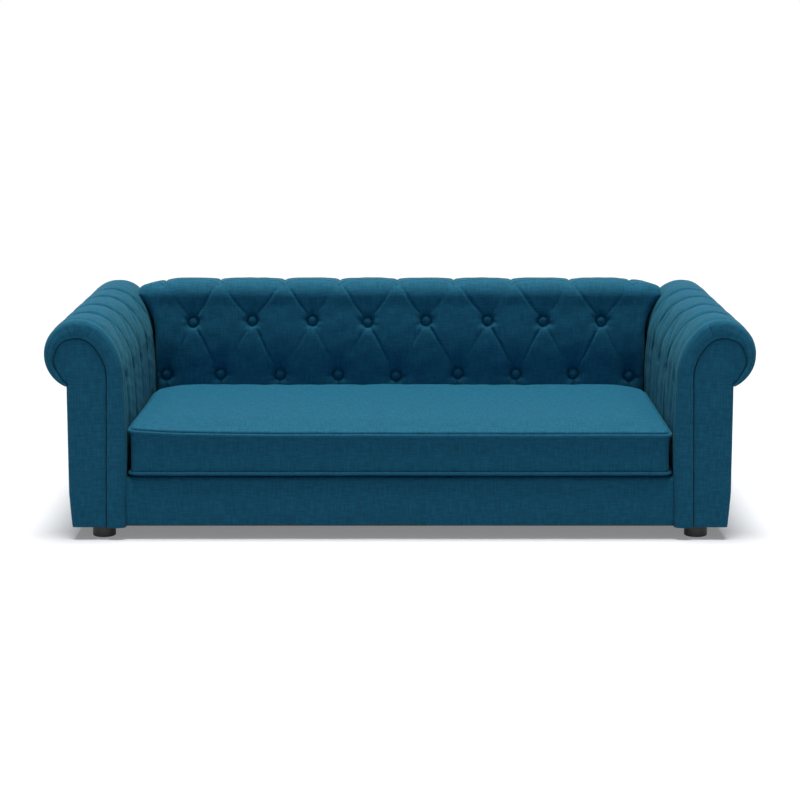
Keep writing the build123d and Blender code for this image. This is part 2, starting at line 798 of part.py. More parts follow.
# Back
with BuildPart() as back_cover:
    loft([back_section(x) for x in back_section_places()], ruled=True)
    with BuildSketch(Plane.YZ.offset(-back_half_width)):
        back_outline(back_cover_thickness, 0)
    extrude(amount=2 * back_half_width, mode=Mode.SUBTRACT)
    for side, sign in sides:
        with BuildSketch(upright(sofa_depth / 2 + overrun)):
            arm_outline(-arm_reach, -arm_reach, sign)
        extrude(amount=sofa_depth + 2 * overrun, mode=Mode.SUBTRACT)
    for row, z in (("upper", upper_tuft_z), ("lower", lower_tuft_z)):
        for x in back_tuft_places(row):
            button_seat((x, back_button_seat_y(z), z), (0, -1, 0), button_radius)
back_cover.part.label = "back_cover"
export_step(back_cover.part, "parts/back_cover.step")

with BuildPart() as back_buttons_upper:
    for x in back_tuft_places("upper"):
        seat = (x, back_button_seat_y(upper_tuft_z), upper_tuft_z)
        button(seat, (0, -1, 0), button_radius, button_height)
back_buttons_upper.part.label = "back_buttons_upper"
export_step(back_buttons_upper.part, "parts/back_buttons_upper.step")

with BuildPart() as back_buttons_lower:
    for x in back_tuft_places("lower"):
        seat = (x, back_button_seat_y(lower_tuft_z), lower_tuft_z)
        button(seat, (0, -1, 0), button_radius, button_height)
back_buttons_lower.part.label = "back_buttons_lower"
export_step(back_buttons_lower.part, "parts/back_buttons_lower.step")

with BuildPart() as back_foam:
    with BuildSketch(Plane.YZ.offset(-back_half_width)):
        back_outline(back_cover_thickness, back_cover_thickness)
        back_outline(back_core_inset, back_core_inset, Mode.SUBTRACT)
        below_roll_z = back_roll_z - back_roll_radius + back_core_inset
        with Locations((back_roll_y + back_roll_radius / 2, below_roll_z / 2)):
            Rectangle(2 * back_roll_radius, below_roll_z, mode=Mode.SUBTRACT)
        with Locations((back_front_y, deck_height / 2)):
            Rectangle(2 * back_roll_radius, deck_height, mode=Mode.SUBTRACT)
    extrude(amount=2 * back_half_width)
back_foam.part.label = "back_foam"
export_step(back_foam.part, "parts/back_foam.step")

with BuildPart() as back_top_rail:
    with BuildSketch(Plane.YZ.offset(-back_half_width)):
        back_outline(back_core_inset, back_core_inset)
        with Locations((back_board_y, back_top_rail_z / 2)):
            Rectangle(4 * back_roll_radius, back_top_rail_z, mode=Mode.SUBTRACT)
    extrude(amount=2 * back_half_width)
back_top_rail.part.label = "back_top_rail"
export_step(back_top_rail.part, "parts/back_top_rail.step")

with BuildPart() as back_board:
    box_between(
        (-back_half_width, back_half_width),
        (back_board_y, back_frame_y),
        (deck_board_top_z, back_top_rail_z),
    )
back_board.part.label = "back_board"
export_step(back_board.part, "parts/back_board.step")

with BuildPart() as back_bottom_rail:
    box_between(
        (-back_half_width, back_half_width),
        (back_frame_y, back_frame_rear_y),
        (deck_board_top_z, back_bolt_z),
    )
    back_bolt_holes((deck_board_top_z, back_bolt_z))
back_bottom_rail.part.label = "back_bottom_rail"
export_step(back_bottom_rail.part, "parts/back_bottom_rail.step")

for side, sign in sides:
    with BuildPart() as back_post:
        box_between(
            across(back_half_width - back_post_width, back_half_width, sign),
            (back_frame_y, back_frame_rear_y),
            (back_bolt_z, back_top_rail_z),
        )
    back_post.part.label = f"back_post_{side}"
    export_step(back_post.part, f"parts/back_post_{side}.step")

back_notch_z = back_roll_z - back_roll_radius * math.sin(
    math.acos((back_rear_y - back_side_inset - back_roll_y) / back_roll_radius)
)
with BuildPart() as back_rear_panel:
    box_between(
        (-back_half_width, back_half_width),
        (back_frame_rear_y, back_frame_rear_y + back_rear_panel_thickness),
        (foot_height, back_notch_z),
    )
back_rear_panel.part.label = "back_rear_panel"
export_step(back_rear_panel.part, "parts/back_rear_panel.step")

with BuildPart() as back_rear_cover:
    box_between(
        (-back_half_width, back_half_width),
        (back_rear_y - back_rear_cover_thickness, back_rear_y),
        (foot_height, back_notch_z),
    )
back_rear_cover.part.label = "back_rear_cover"
export_step(back_rear_cover.part, "parts/back_rear_cover.step")

# Base
base_side_y = (base_rail_y + base_rail_thickness, back_frame_rear_y - base_rail_thickness)
rail_z = (foot_height, deck_board_z)

with BuildPart() as base_front_rail:
    box_between(
        (-base_half_width, base_half_width),
        (base_rail_y, base_rail_y + base_rail_thickness),
        rail_z,
    )
base_front_rail.part.label = "base_front_rail"
export_step(base_front_rail.part, "parts/base_front_rail.step")

with BuildPart() as base_rear_rail:
    box_between(
        (-base_half_width, base_half_width),
        (back_frame_rear_y - base_rail_thickness, back_frame_rear_y),
        rail_z,
    )
    back_bolt_holes((deck_board_z - bolt_grip, deck_board_z))
base_rear_rail.part.label = "base_rear_rail"
export_step(base_rear_rail.part, "parts/base_rear_rail.step")

for side, sign in sides:
    with BuildPart() as base_side_rail:
        box_between(across(arm_bolt_x, base_half_width, sign), base_side_y, rail_z)
        arm_bolt_holes(sign, (arm_bolt_x, base_half_width))
    base_side_rail.part.label = f"base_side_rail_{side}"
    export_step(base_side_rail.part, f"parts/base_side_rail_{side}.step")

with BuildPart() as base_bearer:
    box_between((-base_rail_thickness / 2, base_rail_thickness / 2), base_side_y, rail_z)
base_bearer.part.label = "base_bearer"
export_step(base_bearer.part, "parts/base_bearer.step")

with BuildPart() as deck_board:
    box_between(
        (-base_half_width, base_half_width),
        (base_rail_y, back_frame_rear_y),
        (deck_board_z, deck_board_top_z),
    )
    back_bolt_holes((deck_board_z, deck_board_top_z))
deck_board.part.label = "deck_board"
export_step(deck_board.part, "parts/deck_board.step")

with BuildPart() as deck_cover:
    box_between(
        (-base_half_width, base_half_width),
        (base_rail_y, back_board_y),
        (deck_board_top_z, deck_height),
    )
deck_cover.part.label = "deck_cover"
export_step(deck_cover.part, "parts/deck_cover.step")

with BuildPart() as base_front_pad:
    pad_low_z = foot_height + base_pad_lift
    pad_edge_y = base_pad_y + base_pad_crown
    round_share = 1 - math.sqrt(1 / 2)
    round_end = (pad_edge_y + base_pad_round, deck_height)
    round_start = (pad_edge_y, deck_height - base_pad_round)
    round_middle = (
        pad_edge_y + base_pad_round * round_share,
        deck_height - base_pad_round * round_share,
    )
    bulge = (base_pad_y, (pad_low_z + round_start[1]) / 2)
    with BuildSketch(Plane.YZ.offset(-base_half_width)):
        draw_closed(
            [
                ((base_rail_y, pad_low_z), (pad_edge_y, pad_low_z)),
                ((pad_edge_y, pad_low_z), bulge, round_start),
                (round_start, round_middle, round_end),
                (round_end, (base_rail_y, deck_height)),
                ((base_rail_y, deck_height), (base_rail_y, pad_low_z)),
            ]
        )
    extrude(amount=2 * base_half_width)
base_front_pad.part.label = "base_front_pad"
export_step(base_front_pad.part, "parts/base_front_pad.step")

with BuildPart() as dust_cover:
    with BuildSketch(Plane.XY.offset(foot_height - dust_cover_thickness)):
        with Locations((0, (arm_boards_front_y + arm_boards_rear_y) / 2)):
            Rectangle(
                2 * (arm_outer_x - arm_outer_tuck - dust_cover_margin),
                arm_boards_rear_y - arm_boards_front_y - dust_cover_margin,
            )
        for side, sign in sides:
            with Locations((foot_across * sign, foot_front_y), (foot_across * sign, foot_rear_y)):
                Circle(foot_radius + dust_cover_clearance, mode=Mode.SUBTRACT)
    extrude(amount=dust_cover_thickness)
dust_cover.part.label = "dust_cover"
export_step(dust_cover.part, "parts/dust_cover.step")

# Feet and fasteners
foot_places = {
    f"{end}_{side}": (foot_across * sign, y)
    for side, sign in sides
    for end, y in (("front", foot_front_y), ("rear", foot_rear_y))
}
for name, (x, y) in foot_places.items():
    with BuildPart() as foot:
        with BuildSketch(Plane.XY):
            with Locations((x, y)):
                Circle(foot_radius)
        extrude(amount=foot_height)
        fillet(foot.edges().group_by(Axis.Z)[0], foot_edge_round)
        with BuildSketch(Plane.XY):
            with Locations((x, y)):
                Circle(screw_recess_radius)
        extrude(amount=screw_recess_depth, mode=Mode.SUBTRACT)
        with BuildSketch(Plane.XY):
            with Locations((x, y)):
                Circle(screw_radius + hole_clearance)
        extrude(amount=foot_height, mode=Mode.SUBTRACT)
    foot.part.label = f"foot_{name}"
    export_step(foot.part, f"parts/foot_{name}.step")

with BuildPart() as foot_screws:
    with BuildSketch(Plane.XY.offset(screw_recess_depth - screw_head_height)):
        with Locations(*foot_places.values()):
            Circle(screw_head_radius)
    extrude(amount=screw_head_height)
    with BuildSketch(Plane.XY.offset(screw_recess_depth)):
        with Locations(*foot_places.values()):
            Circle(screw_radius)
    extrude(amount=foot_height - screw_recess_depth + screw_grip)
foot_screws.part.label = "foot_screws"
export_step(foot_screws.part, "parts/foot_screws.step")

with BuildPart() as arm_bolts:
    for side, sign in sides:
        for share in arm_bolt_shares:
            y = arm_bay_front_y + arm_bay_length * share
            head = Plane(origin=(arm_bolt_x * sign, y, arm_bolt_z), z_dir=(-sign, 0, 0))
            shank = Plane(origin=(arm_bolt_x * sign, y, arm_bolt_z), z_dir=(sign, 0, 0))
            with BuildSketch(head):
                Circle(bolt_head_radius)
            extrude(amount=bolt_head_height)
            with BuildSketch(shank):
                Circle(bolt_radius)
            extrude(amount=arm_rail_inner_x - arm_bolt_x + bolt_grip)
arm_bolts.part.label = "arm_bolts"
export_step(arm_bolts.part, "parts/arm_bolts.step")

with BuildPart() as back_bolts:
    back_bolt_spots = [(share * back_half_width, back_bolt_y) for share in back_bolt_shares]
    with BuildSketch(Plane.XY.offset(back_bolt_z)):
        with Locations(*back_bolt_spots):
            Circle(bolt_head_radius)
    extrude(amount=bolt_head_height)
    with BuildSketch(Plane.XY.offset(deck_board_z - bolt_grip)):
        with Locations(*back_bolt_spots):
            Circle(bolt_radius)
    extrude(amount=back_bolt_z - deck_board_z + bolt_grip)
back_bolts.part.label = "back_bolts"
export_step(back_bolts.part, "parts/back_bolts.step")


# Seat cushion
def cushion_levels(shrink):
    """Heights of the cushion's outlines with how far each is drawn in, from the bottom up."""
    band = cushion_band_height / 2
    levels = []
    for rise_share, run_share in zip(cushion_low_rise_shares, cushion_low_run_shares):
        z = cushion_base_z + cushion_bottom_crown * rise_share + shrink
        levels.append((z, cushion_crown_run * run_share + shrink))
    levels.append((piping_low_z, shrink))
    levels.append((cushion_mid_z - band, cushion_side_draw + shrink))
    levels.append((cushion_mid_z + band, cushion_side_draw + shrink))
    levels.append((piping_high_z, shrink))
    for rise_share, run_share in zip(cushion_crown_rise_shares, cushion_crown_run_shares):
        z = piping_high_z + cushion_top_crown * rise_share - shrink
        levels.append((z, cushion_crown_run * run_share + shrink))
    return levels


def cushion_outline(z, inset):
    """The cushion seen from above, with small front corners and large rear ones."""
    with BuildSketch(Plane.XY.offset(z)) as outline:
        with Locations((0, cushion_mid_y)):
            Rectangle(2 * (cushion_half_width - inset), cushion_length - 2 * inset)
        corners = outline.vertices().group_by(Axis.Y)
        fillet(corners[0], cushion_front_corner + inset * cushion_corner_run_share)
        corners = outline.vertices().group_by(Axis.Y)
        fillet(corners[-1], cushion_rear_corner + inset * cushion_corner_run_share)
    return outline.sketch


with BuildPart() as cushion_core:
    inner_levels = cushion_levels(cushion_cover_thickness)
    loft([cushion_outline(z, inset) for z, inset in inner_levels], ruled=True)
cushion_core.part.label = "cushion_core"
export_step(cushion_core.part, "parts/cushion_core.step")

with BuildPart() as cushion_body:
    loft([cushion_outline(z, inset) for z, inset in cushion_levels(0)], ruled=True)

with BuildPart() as cushion_cover:
    add(cushion_body.part)
    add(cushion_core.part, mode=Mode.SUBTRACT)
cushion_cover.part.label = "cushion_cover"
export_step(cushion_cover.part, "parts/cushion_cover.step")

with BuildPart() as cushion_piping:
    for z in (piping_low_z, piping_high_z):
        path = cushion_outline(z, 0).faces()[0].outer_wire()
        with BuildSketch(Plane(origin=path @ 0, z_dir=path % 0)):
            Circle(piping_radius)
        sweep(path=path)
    add(cushion_body.part, mode=Mode.SUBTRACT)
cushion_piping.part.label = "cushion_piping"
export_step(cushion_piping.part, "parts/cushion_piping.step")

# Zip
with BuildPart() as zip_tape:
    box_between(
        (-zip_length / 2, zip_length / 2),
        (zip_tape_y, zip_chain_y),
        (cushion_mid_z - zip_tape_height / 2, cushion_mid_z + zip_tape_height / 2),
    )
    box_between(
        (-zip_length / 2, zip_length / 2),
        (zip_chain_y, zip_chain_y + zip_chain_thickness),
        (cushion_mid_z - zip_chain_width / 2, cushion_mid_z + zip_chain_width / 2),
    )
zip_tape.part.label = "zip_tape"
export_step(zip_tape.part, "parts/zip_tape.step")

with BuildPart() as zip_slider:
    half_length = zip_slider_length / 2
    half_width = zip_slider_width / 2
    channel = zip_chain_width / 2 + zip_slider_clearance
    box_between(
        (zip_slider_x - half_length, zip_slider_x + half_length),
        (zip_slider_y, zip_top_y),
        (cushion_mid_z - half_width, cushion_mid_z + half_width),
    )
    with BuildSketch(Plane.YZ.offset(zip_slider_x - half_length)):
        with Locations(((zip_slider_y + zip_plate_y) / 2, cushion_mid_z)):
            Rectangle(zip_plate_y - zip_slider_y, 2 * channel)
    extrude(amount=zip_slider_length, mode=Mode.SUBTRACT)
    post_plane = upright(zip_top_y + bail_gap)
    with BuildSketch(post_plane):
        with Locations((bail_post_x, cushion_mid_z), (bail_post_x + bail_spacing, cushion_mid_z)):
            Circle(bail_post_radius)
    extrude(amount=bail_gap)
    box_between(
        (bail_post_x - bail_post_radius, bail_post_x + bail_spacing + bail_post_radius),
        (zip_top_y + bail_gap, zip_top_y + bail_gap + bail_bar_thickness),
        (cushion_mid_z - bail_post_radius, cushion_mid_z + bail_post_radius),
    )
zip_slider.part.label = "zip_slider"
export_step(zip_slider.part, "parts/zip_slider.step")

with BuildPart() as zip_pull:
    neck_z = cushion_mid_z - pull_neck_length
    tag_z = cushion_mid_z - pull_length + pull_width / 2
    with BuildSketch(upright(pull_y + pull_thickness)):
        with Locations((bail_post_x, cushion_mid_z)):
            Circle(pull_neck_width / 2)
        with Locations((bail_post_x, (cushion_mid_z + neck_z) / 2)):
            Rectangle(pull_neck_width, pull_neck_length)
        with Locations((bail_post_x, (neck_z + tag_z) / 2)):
            Rectangle(pull_width, neck_z - tag_z)
        with Locations((bail_post_x, tag_z)):
            Circle(pull_width / 2)
        with Locations((bail_post_x, cushion_mid_z)):
            Circle(pull_eye_radius, mode=Mode.SUBTRACT)
    extrude(amount=pull_thickness)
zip_pull.part.label = "zip_pull"
export_step(zip_pull.part, "parts/zip_pull.step")
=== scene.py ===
import bmesh
import bpy
import math
import numpy as np
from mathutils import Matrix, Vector


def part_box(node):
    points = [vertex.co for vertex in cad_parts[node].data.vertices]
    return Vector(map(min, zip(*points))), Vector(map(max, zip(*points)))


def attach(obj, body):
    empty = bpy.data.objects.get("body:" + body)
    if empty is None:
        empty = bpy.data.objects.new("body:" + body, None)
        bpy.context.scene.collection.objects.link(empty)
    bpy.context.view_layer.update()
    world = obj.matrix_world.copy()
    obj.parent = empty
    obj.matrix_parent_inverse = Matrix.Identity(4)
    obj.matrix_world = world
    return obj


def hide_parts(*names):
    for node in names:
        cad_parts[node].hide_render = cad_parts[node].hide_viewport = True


# A small chesterfield sofa bed for a dog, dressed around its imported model. Metres throughout, in
# the model's own frame: the origin on the floor under the middle, front at -Y, +Z up. Widths are
# given for the right arm and mirrored for the left one.

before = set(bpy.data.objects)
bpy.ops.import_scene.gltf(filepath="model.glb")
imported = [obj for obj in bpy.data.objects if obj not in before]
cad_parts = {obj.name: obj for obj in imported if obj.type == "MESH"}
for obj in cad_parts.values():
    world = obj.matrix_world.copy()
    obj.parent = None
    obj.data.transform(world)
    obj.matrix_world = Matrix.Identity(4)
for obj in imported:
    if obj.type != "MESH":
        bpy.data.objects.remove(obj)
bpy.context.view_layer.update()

# Sizes read from the frame
border_low, border_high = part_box("arm_front_border_right")
pad_low, pad_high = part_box("base_front_pad")
rear_low, rear_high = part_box("back_rear_cover")
deck_low, deck_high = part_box("deck_cover")
dust_low, dust_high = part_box("dust_cover")
tape_low, tape_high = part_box("zip_tape")
front_y = border_low.y
cover_front_y = border_high.y
arm_rear_y = rear_high.y
cover_rear_y = arm_rear_y - 0.004
floor_gap = border_low.z
deck_z = deck_high.z
arm_outer_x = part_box("arm_outer_cover_right")[1].x
cushion_low_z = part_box("cushion_cover")[0].z
sofa_half_width = border_high.x

# Plain sizes of the upholstery, the same as the solids have
arm_inner_x = 0.392
arm_top_z = 0.314
roll_radius = 0.0475
blend_angle = 135.0
back_front_y = 0.156
back_turn_radius = 0.036
back_roll_radius = 0.042
back_top_z = 0.319
channel_pitch = 0.093
channel_depths = (0.104, 0.193, 0.2915, 0.382)
arm_button_z = 0.226
arm_row_angle = 124.0
upper_button_z = 0.258
lower_button_z = 0.173
lobe_reach = channel_pitch / 2

# Sizes that only the cloth has
back_lip_radius = 0.023
back_widest = 0.4145
deepest_tuft = 0.0076
hem_rise = 0.0006
hem_width = 0.012
foot_cut_radius = 0.0172
grid_gap = 0.0020
back_grid_gap = 0.0016

# Across places of the back's buttons, left to right, and how far each is off its row
upper_button_places = (-0.328, -0.234, -0.139, -0.051, 0.041, 0.139, 0.227, 0.319)
upper_button_rises = (-0.001, 0.001, 0.001, -0.001, 0.001, 0.001, 0.0, 0.0)
lower_button_places = (-0.371, -0.285, -0.191, -0.098, -0.006, 0.092, 0.184, 0.275, 0.364)
lower_button_rises = (0.0, 0.001, 0.0, 0.0, -0.002, 0.002, 0.001, 0.002, -0.002)
crest_notch_places = (-0.376, -0.288, -0.184, -0.096, -0.005, 0.086, 0.178, 0.272, 0.369)

# How crisp the folds from each upper button are: up left, up right, down left, down right
fold_shares = (
    (0.3, 0.9, 0.25, 0.8),
    (0.55, 0.75, 0.3, 0.9),
    (0.95, 0.35, 0.3, 0.35),
    (1.0, 0.6, 0.25, 0.95),
    (1.0, 0.3, 0.25, 1.0),
    (1.0, 0.3, 0.3, 1.0),
    (1.0, 0.3, 0.6, 0.4),
    (0.85, 0.4, 0.95, 0.3),
)

roll_x = sofa_half_width - roll_radius
roll_z = arm_top_z - roll_radius
blend_cos = math.cos(math.radians(blend_angle))
blend_sin = math.sin(math.radians(blend_angle))
blend_radius = (roll_x + roll_radius * blend_cos - arm_inner_x) / (1 + blend_cos)
blend_x = arm_inner_x + blend_radius
blend_z = roll_z + (roll_radius - blend_radius) * blend_sin
notch_angle = -math.degrees(math.acos((arm_outer_x - roll_x) / roll_radius))
notch_z = roll_z + roll_radius * math.sin(math.radians(notch_angle))
back_turn_y = back_front_y + back_turn_radius
back_turn_z = back_top_z - back_turn_radius
back_roll_y = -front_y - back_roll_radius
back_roll_z = back_top_z - back_roll_radius
sides = (("left", -1), ("right", 1))


# Outlines

def arc(centre, radius, start, end, steps=48):
    """Points on an arc between two angles in degrees."""
    turn = np.radians(np.linspace(start, end, steps + 1))
    return grid(centre[0] + radius * np.cos(turn), centre[1] + radius * np.sin(turn))


def line(start, end, steps=24):
    """Points on a straight run."""
    share = np.linspace(0, 1, steps + 1)[:, None]
    return np.array(start) * (1 - share) + np.array(end) * share


def joined(*runs):
    """Runs of points joined end to end."""
    return np.concatenate([runs[0]] + [run[1:] for run in runs[1:]])


def lengths_along(points):
    """The distance from the first point to each point of a path."""
    steps = np.linalg.norm(np.diff(points, axis=0), axis=1)
    return np.concatenate([[0], np.cumsum(steps)])


def evenly(points, gap):
    """The same path with even gaps, and the distance along it to each point."""
    lengths = lengths_along(points)
    count = max(2, int(round(lengths[-1] / gap)))
    places = np.linspace(0, lengths[-1], count + 1)
    even = np.stack([np.interp(places, lengths, column) for column in points.T], 1)
    return places, even


def left_normals(points):
    """Unit normals to the left of the way a flat path runs."""
    along = normed(np.gradient(points, axis=0))
    return grid(-along[:, 1], along[:, 0])


# Surfaces

def new_object(name, data):
    """An object in the scene."""
    made = bpy.data.objects.new(name, data)
    bpy.context.scene.collection.objects.link(made)
    return made


def mesh_object(name, points, faces, uv=None):
    """An object from points and faces: smooth with UVs for the faces' corners, or flat without."""
    mesh = bpy.data.meshes.new(name)
    mesh.from_pydata(points, [], faces)
    if uv is not None:
        layer = mesh.uv_layers.new(name="weave")
        layer.data.foreach_set("uv", uv.ravel())
        mesh.polygons.foreach_set("use_smooth", [True] * len(mesh.polygons))
    mesh.update()
    return new_object(name, mesh)


def surface(name, points, uv, flip=False, round_rows=False, round_columns=False):
    """An object from a grid of points. A round direction closes on itself, and its UVs have one
    row or column more than its points."""
    rows, columns = points.shape[:2]
    row = np.arange(rows if round_rows else rows - 1)[:, None]
    column = np.arange(columns if round_columns else columns - 1)[None, :]
    corners = [(row, column), (row, column + 1), (row + 1, column + 1), (row + 1, column)]
    if flip:
        corners = corners[::-1]
    quads = np.stack([(r % rows) * columns + c % columns for r, c in corners], -1).reshape(-1, 4)
    places = np.stack([r * uv.shape[1] + c for r, c in corners], -1).reshape(-1)
    return mesh_object(name, points.reshape(-1, 3).tolist(), quads.tolist(), uv.reshape(-1, 2)[places])


def grid(*parts):
    """A grid of places, from one part of them for each axis."""
    return np.stack(np.broadcast_arrays(*parts), -1)


def normed(rows):
    """Rows made one long."""
    return rows / np.linalg.norm(rows, axis=1, keepdims=True)


def round_ways(loop):
    """The way that a closed loop runs at each of its points."""
    return normed(np.roll(loop, -1, 0) - np.roll(loop, 1, 0))


def turned_in(points, uv, end, values, shift, axis=1):
    """A grid with one more row ("low", "high") or column ("left", "right") beyond an end. One axis
    of its points is set to new values, and its UVs are shifted."""
    first = end in ("low", "left")
    pick = slice(0, 1) if first else slice(-1, None)
    along = 0 if end in ("low", "high") else 1
    where = (pick,) if along == 0 else (slice(None), pick)
    edge = points[where].copy()
    edge[..., axis] = values
    pairs = (edge, points), (uv[where] + shift, uv)
    return [np.concatenate(pair if first else pair[::-1], along) for pair in pairs]


def hem_below(points, uv, values, shift, axis=1):
    """A grid with a hem turned in under its lowest row, which is raised a little."""
    points, uv = turned_in(points, uv, "low", values, shift, axis)
    points[1, :, 2] += hem_rise
    return points, uv


def thicken(piece, thickness):
    """Give a cloth face its thickness, on the inner side."""
    layer = piece.modifiers.new("Thickness", "SOLIDIFY")
    layer.thickness = thickness
    layer.offset = -1


def joined_piece(name, pieces):
    """Several objects made into one."""
    bpy.ops.object.select_all(action="DESELECT")
    for piece in pieces:
        piece.select_set(True)
    bpy.context.view_layer.objects.active = pieces[0]
    bpy.ops.object.join()
    pieces[0].name = name
    pieces[0].data.name = name
    return pieces[0]


def dress(piece, slot, body, *nodes):
    """Give a piece its slot's material, its body and the solids that it stands for."""
    piece.data.materials.clear()
    piece.data.materials.append(materials[slot])
    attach(piece, body)
    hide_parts(*nodes)


def finish_cover(cover, thickness, node):
    """Make a face a padded cover of the sofa, in place of its solid."""
    thicken(cover, thickness)
    dress(cover, "upholstery", "root", node)


# Relief

def unit(value):
    """A value kept between 0 and 1."""
    return np.clip(value, 0, 1)


def valley(distance, reach):
    """1 in a crease and 0 at its reach: two round shoulders that meet in a sharp line."""
    away = unit(np.abs(distance) / reach)
    return 1 - np.sqrt(1 - (1 - away) ** 2)


def pit(away, rim, reach):
    """1 within a rim, and from there up to 0 like a valley's shoulder."""
    return valley(np.maximum(away - rim, 0), reach)


def rounded_off(distance, radius):
    """How far a rounded edge falls back at a distance from its end."""
    return radius - np.sqrt(np.maximum(radius ** 2 - np.maximum(radius - distance, 0) ** 2, 0))


def fold(u, v, start, end):
    """The distance from a straight fold, and the share of its length that is passed."""
    run = (end[0] - start[0], end[1] - start[1])
    share = ((u - start[0]) * run[0] + (v - start[1]) * run[1]) / (run[0] ** 2 + run[1] ** 2)
    share = unit(share)
    return np.hypot(u - start[0] - share * run[0], v - start[1] - share * run[1]), share


def deepest(depths):
    """Depths that run into each other smoothly, the deeper one leading."""
    return sum(np.maximum(depth, 0) ** 4 for depth in depths) ** 0.25


def ripple(u, v, wavelength, seed, waves=8):
    """Smooth unevenness between about -1 and 1, the same on each run."""
    dice = np.random.default_rng(seed)
    total = 0
    for _ in range(waves):
        turn, phase = dice.uniform(0, 2 * math.pi, 2)
        rate = 2 * math.pi / (wavelength * dice.uniform(0.6, 1.7))
        total = total + np.sin(rate * (u * math.cos(turn) + v * math.sin(turn)) + phase)
    return total / math.sqrt(2 * waves)


def pucker(u, v, centre, radius, seed):
    """Short creases that run out from a button, fading away from its rim."""
    dice = np.random.default_rng(seed)
    turn = np.arctan2(v - centre[1], u - centre[0])
    away = np.hypot(u - centre[0], v - centre[1])
    fade = np.exp(-((away - radius) / (0.9 * radius)) ** 2) * (away > radius * 0.6)
    total = 0
    for count in (3, 5, 8):
        total = total + np.sin(count * turn + dice.uniform(0, 2 * math.pi))
    return 0.5 * fade * total


# Materials

def new_material(name):
    """An empty material with its shader."""
    material = bpy.data.materials.new(name)
    material.use_nodes = True
    return material, material.node_tree, material.node_tree.nodes["Principled BSDF"]


def add_node(tree, kind, values=(), **settings):
    """A node with its settings, and values or links for its inputs."""
    made = tree.nodes.new(kind)
    for key, value in settings.items():
        setattr(made, key, value)
    for socket, value in dict(values).items():
        if isinstance(value, bpy.types.NodeSocket):
            tree.links.new(value, made.inputs[socket])
        else:
            made.inputs[socket].default_value = value
    return made


def maths(tree, operation, *values):
    """A sum of links and numbers."""
    return add_node(tree, "ShaderNodeMath", enumerate(values), operation=operation).outputs[0]


def ramp(tree, factor, *stops):
    """Colours along a factor."""
    made = add_node(tree, "ShaderNodeValToRGB", {"Fac": factor})
    elements = made.color_ramp.elements
    while len(elements) < len(stops):
        elements.new(0.5)
    for element, (position, colour) in zip(elements, stops):
        element.position = position
        element.color = (*colour, 1)
    return made.outputs["Color"]


def noise(tree, where, scale, detail=2.0, roughness=0.5, distortion=0.0, output="Fac"):
    """Noise over a place."""
    values = {"Vector": where, "Scale": scale, "Detail": detail, "Roughness": roughness}
    values["Distortion"] = distortion
    return add_node(tree, "ShaderNodeTexNoise", values).outputs[output]


def vectors(tree, operation, one, other):
    """A sum of two places."""
    return add_node(tree, "ShaderNodeVectorMath", {0: one, 1: other}, operation=operation).outputs[0]


def weighed(tree, one, weight, other, other_weight):
    """Two numbers added with their weights."""
    first = maths(tree, "MULTIPLY", one, weight)
    return maths(tree, "ADD", first, maths(tree, "MULTIPLY", other, other_weight))


def set_inputs(shader, values):
    """Plain values for a shader's own sockets."""
    for socket, value in values.items():
        shader.inputs[socket].default_value = value


def raise_grain(tree, shader, height, strength, distance):
    """Give a shader its fine bumps."""
    values = {"Strength": strength, "Distance": distance, "Height": height}
    raised = add_node(tree, "ShaderNodeBump", values)
    tree.links.new(raised.outputs["Normal"], shader.inputs["Normal"])


def shade(colour, share):
    """A colour made darker or lighter."""
    return tuple(min(1, part * share) for part in colour)


def woven(name, colour, thread=0.0011, bump=0.5, gloss=0.12):
    """Plain-woven cloth with uneven yarns, from UVs in metres."""
    material, tree, shader = new_material(name)
    where = add_node(tree, "ShaderNodeUVMap", uv_map="weave").outputs["UV"]
    shift = vectors(tree, "SUBTRACT", noise(tree, where, 160, 1, output="Color"), (0.5, 0.5, 0.5))
    place = vectors(tree, "ADD", where, vectors(tree, "MULTIPLY", shift, (thread, thread, 0)))
    parts = add_node(tree, "ShaderNodeSeparateXYZ", {0: place}).outputs
    rounds, steps = [], []
    for axis in ("X", "Y"):
        count = maths(tree, "DIVIDE", parts[axis], thread)
        wave = maths(tree, "SINE", maths(tree, "MULTIPLY", count, math.pi))
        rounds.append(maths(tree, "ABSOLUTE", wave))
        steps.append(maths(tree, "FLOOR", count))
    over = maths(tree, "FLOORED_MODULO", maths(tree, "ADD", *steps), 2.0)
    height = weighed(tree, over, rounds[0], maths(tree, "SUBTRACT", 1.0, over), rounds[1])
    warp, weft = (
        noise(tree, vectors(tree, "MULTIPLY", place, stretch), 1, 2, 0.6)
        for stretch in ((620, 42, 1), (48, 560, 1))
    )
    yarn = weighed(tree, warp, 0.5, weft, 0.5)
    mottle = weighed(tree, yarn, 0.75, noise(tree, where, 130, 4, 0.75), 0.25)
    tone = ramp(tree, mottle, (0.41, shade(colour, 0.8)), (0.5, colour), (0.59, shade(colour, 1.25)))
    # Painted shade: the tone is multiplied down where the weave's height is low, darkening the gaps between
    # the yarns
    mixed = add_node(
        tree, "ShaderNodeMix", {0: 0.4, 6: tone, 7: maths(tree, "POWER", height, 0.35)},
        data_type="RGBA", blend_type="MULTIPLY",
    )
    tree.links.new(mixed.outputs[2], shader.inputs["Base Color"])
    fuzz = maths(tree, "MULTIPLY", noise(tree, where, 700), 0.6)
    raise_grain(tree, shader, maths(tree, "ADD", height, fuzz), bump, thread * 0.35)
    set_inputs(shader, {
        "Roughness": 0.7, "Specular IOR Level": gloss,
        "Sheen Weight": 0.12, "Sheen Roughness": 0.5, "Sheen Tint": (0.4, 1.0, 0.85, 1),
    })
    return material


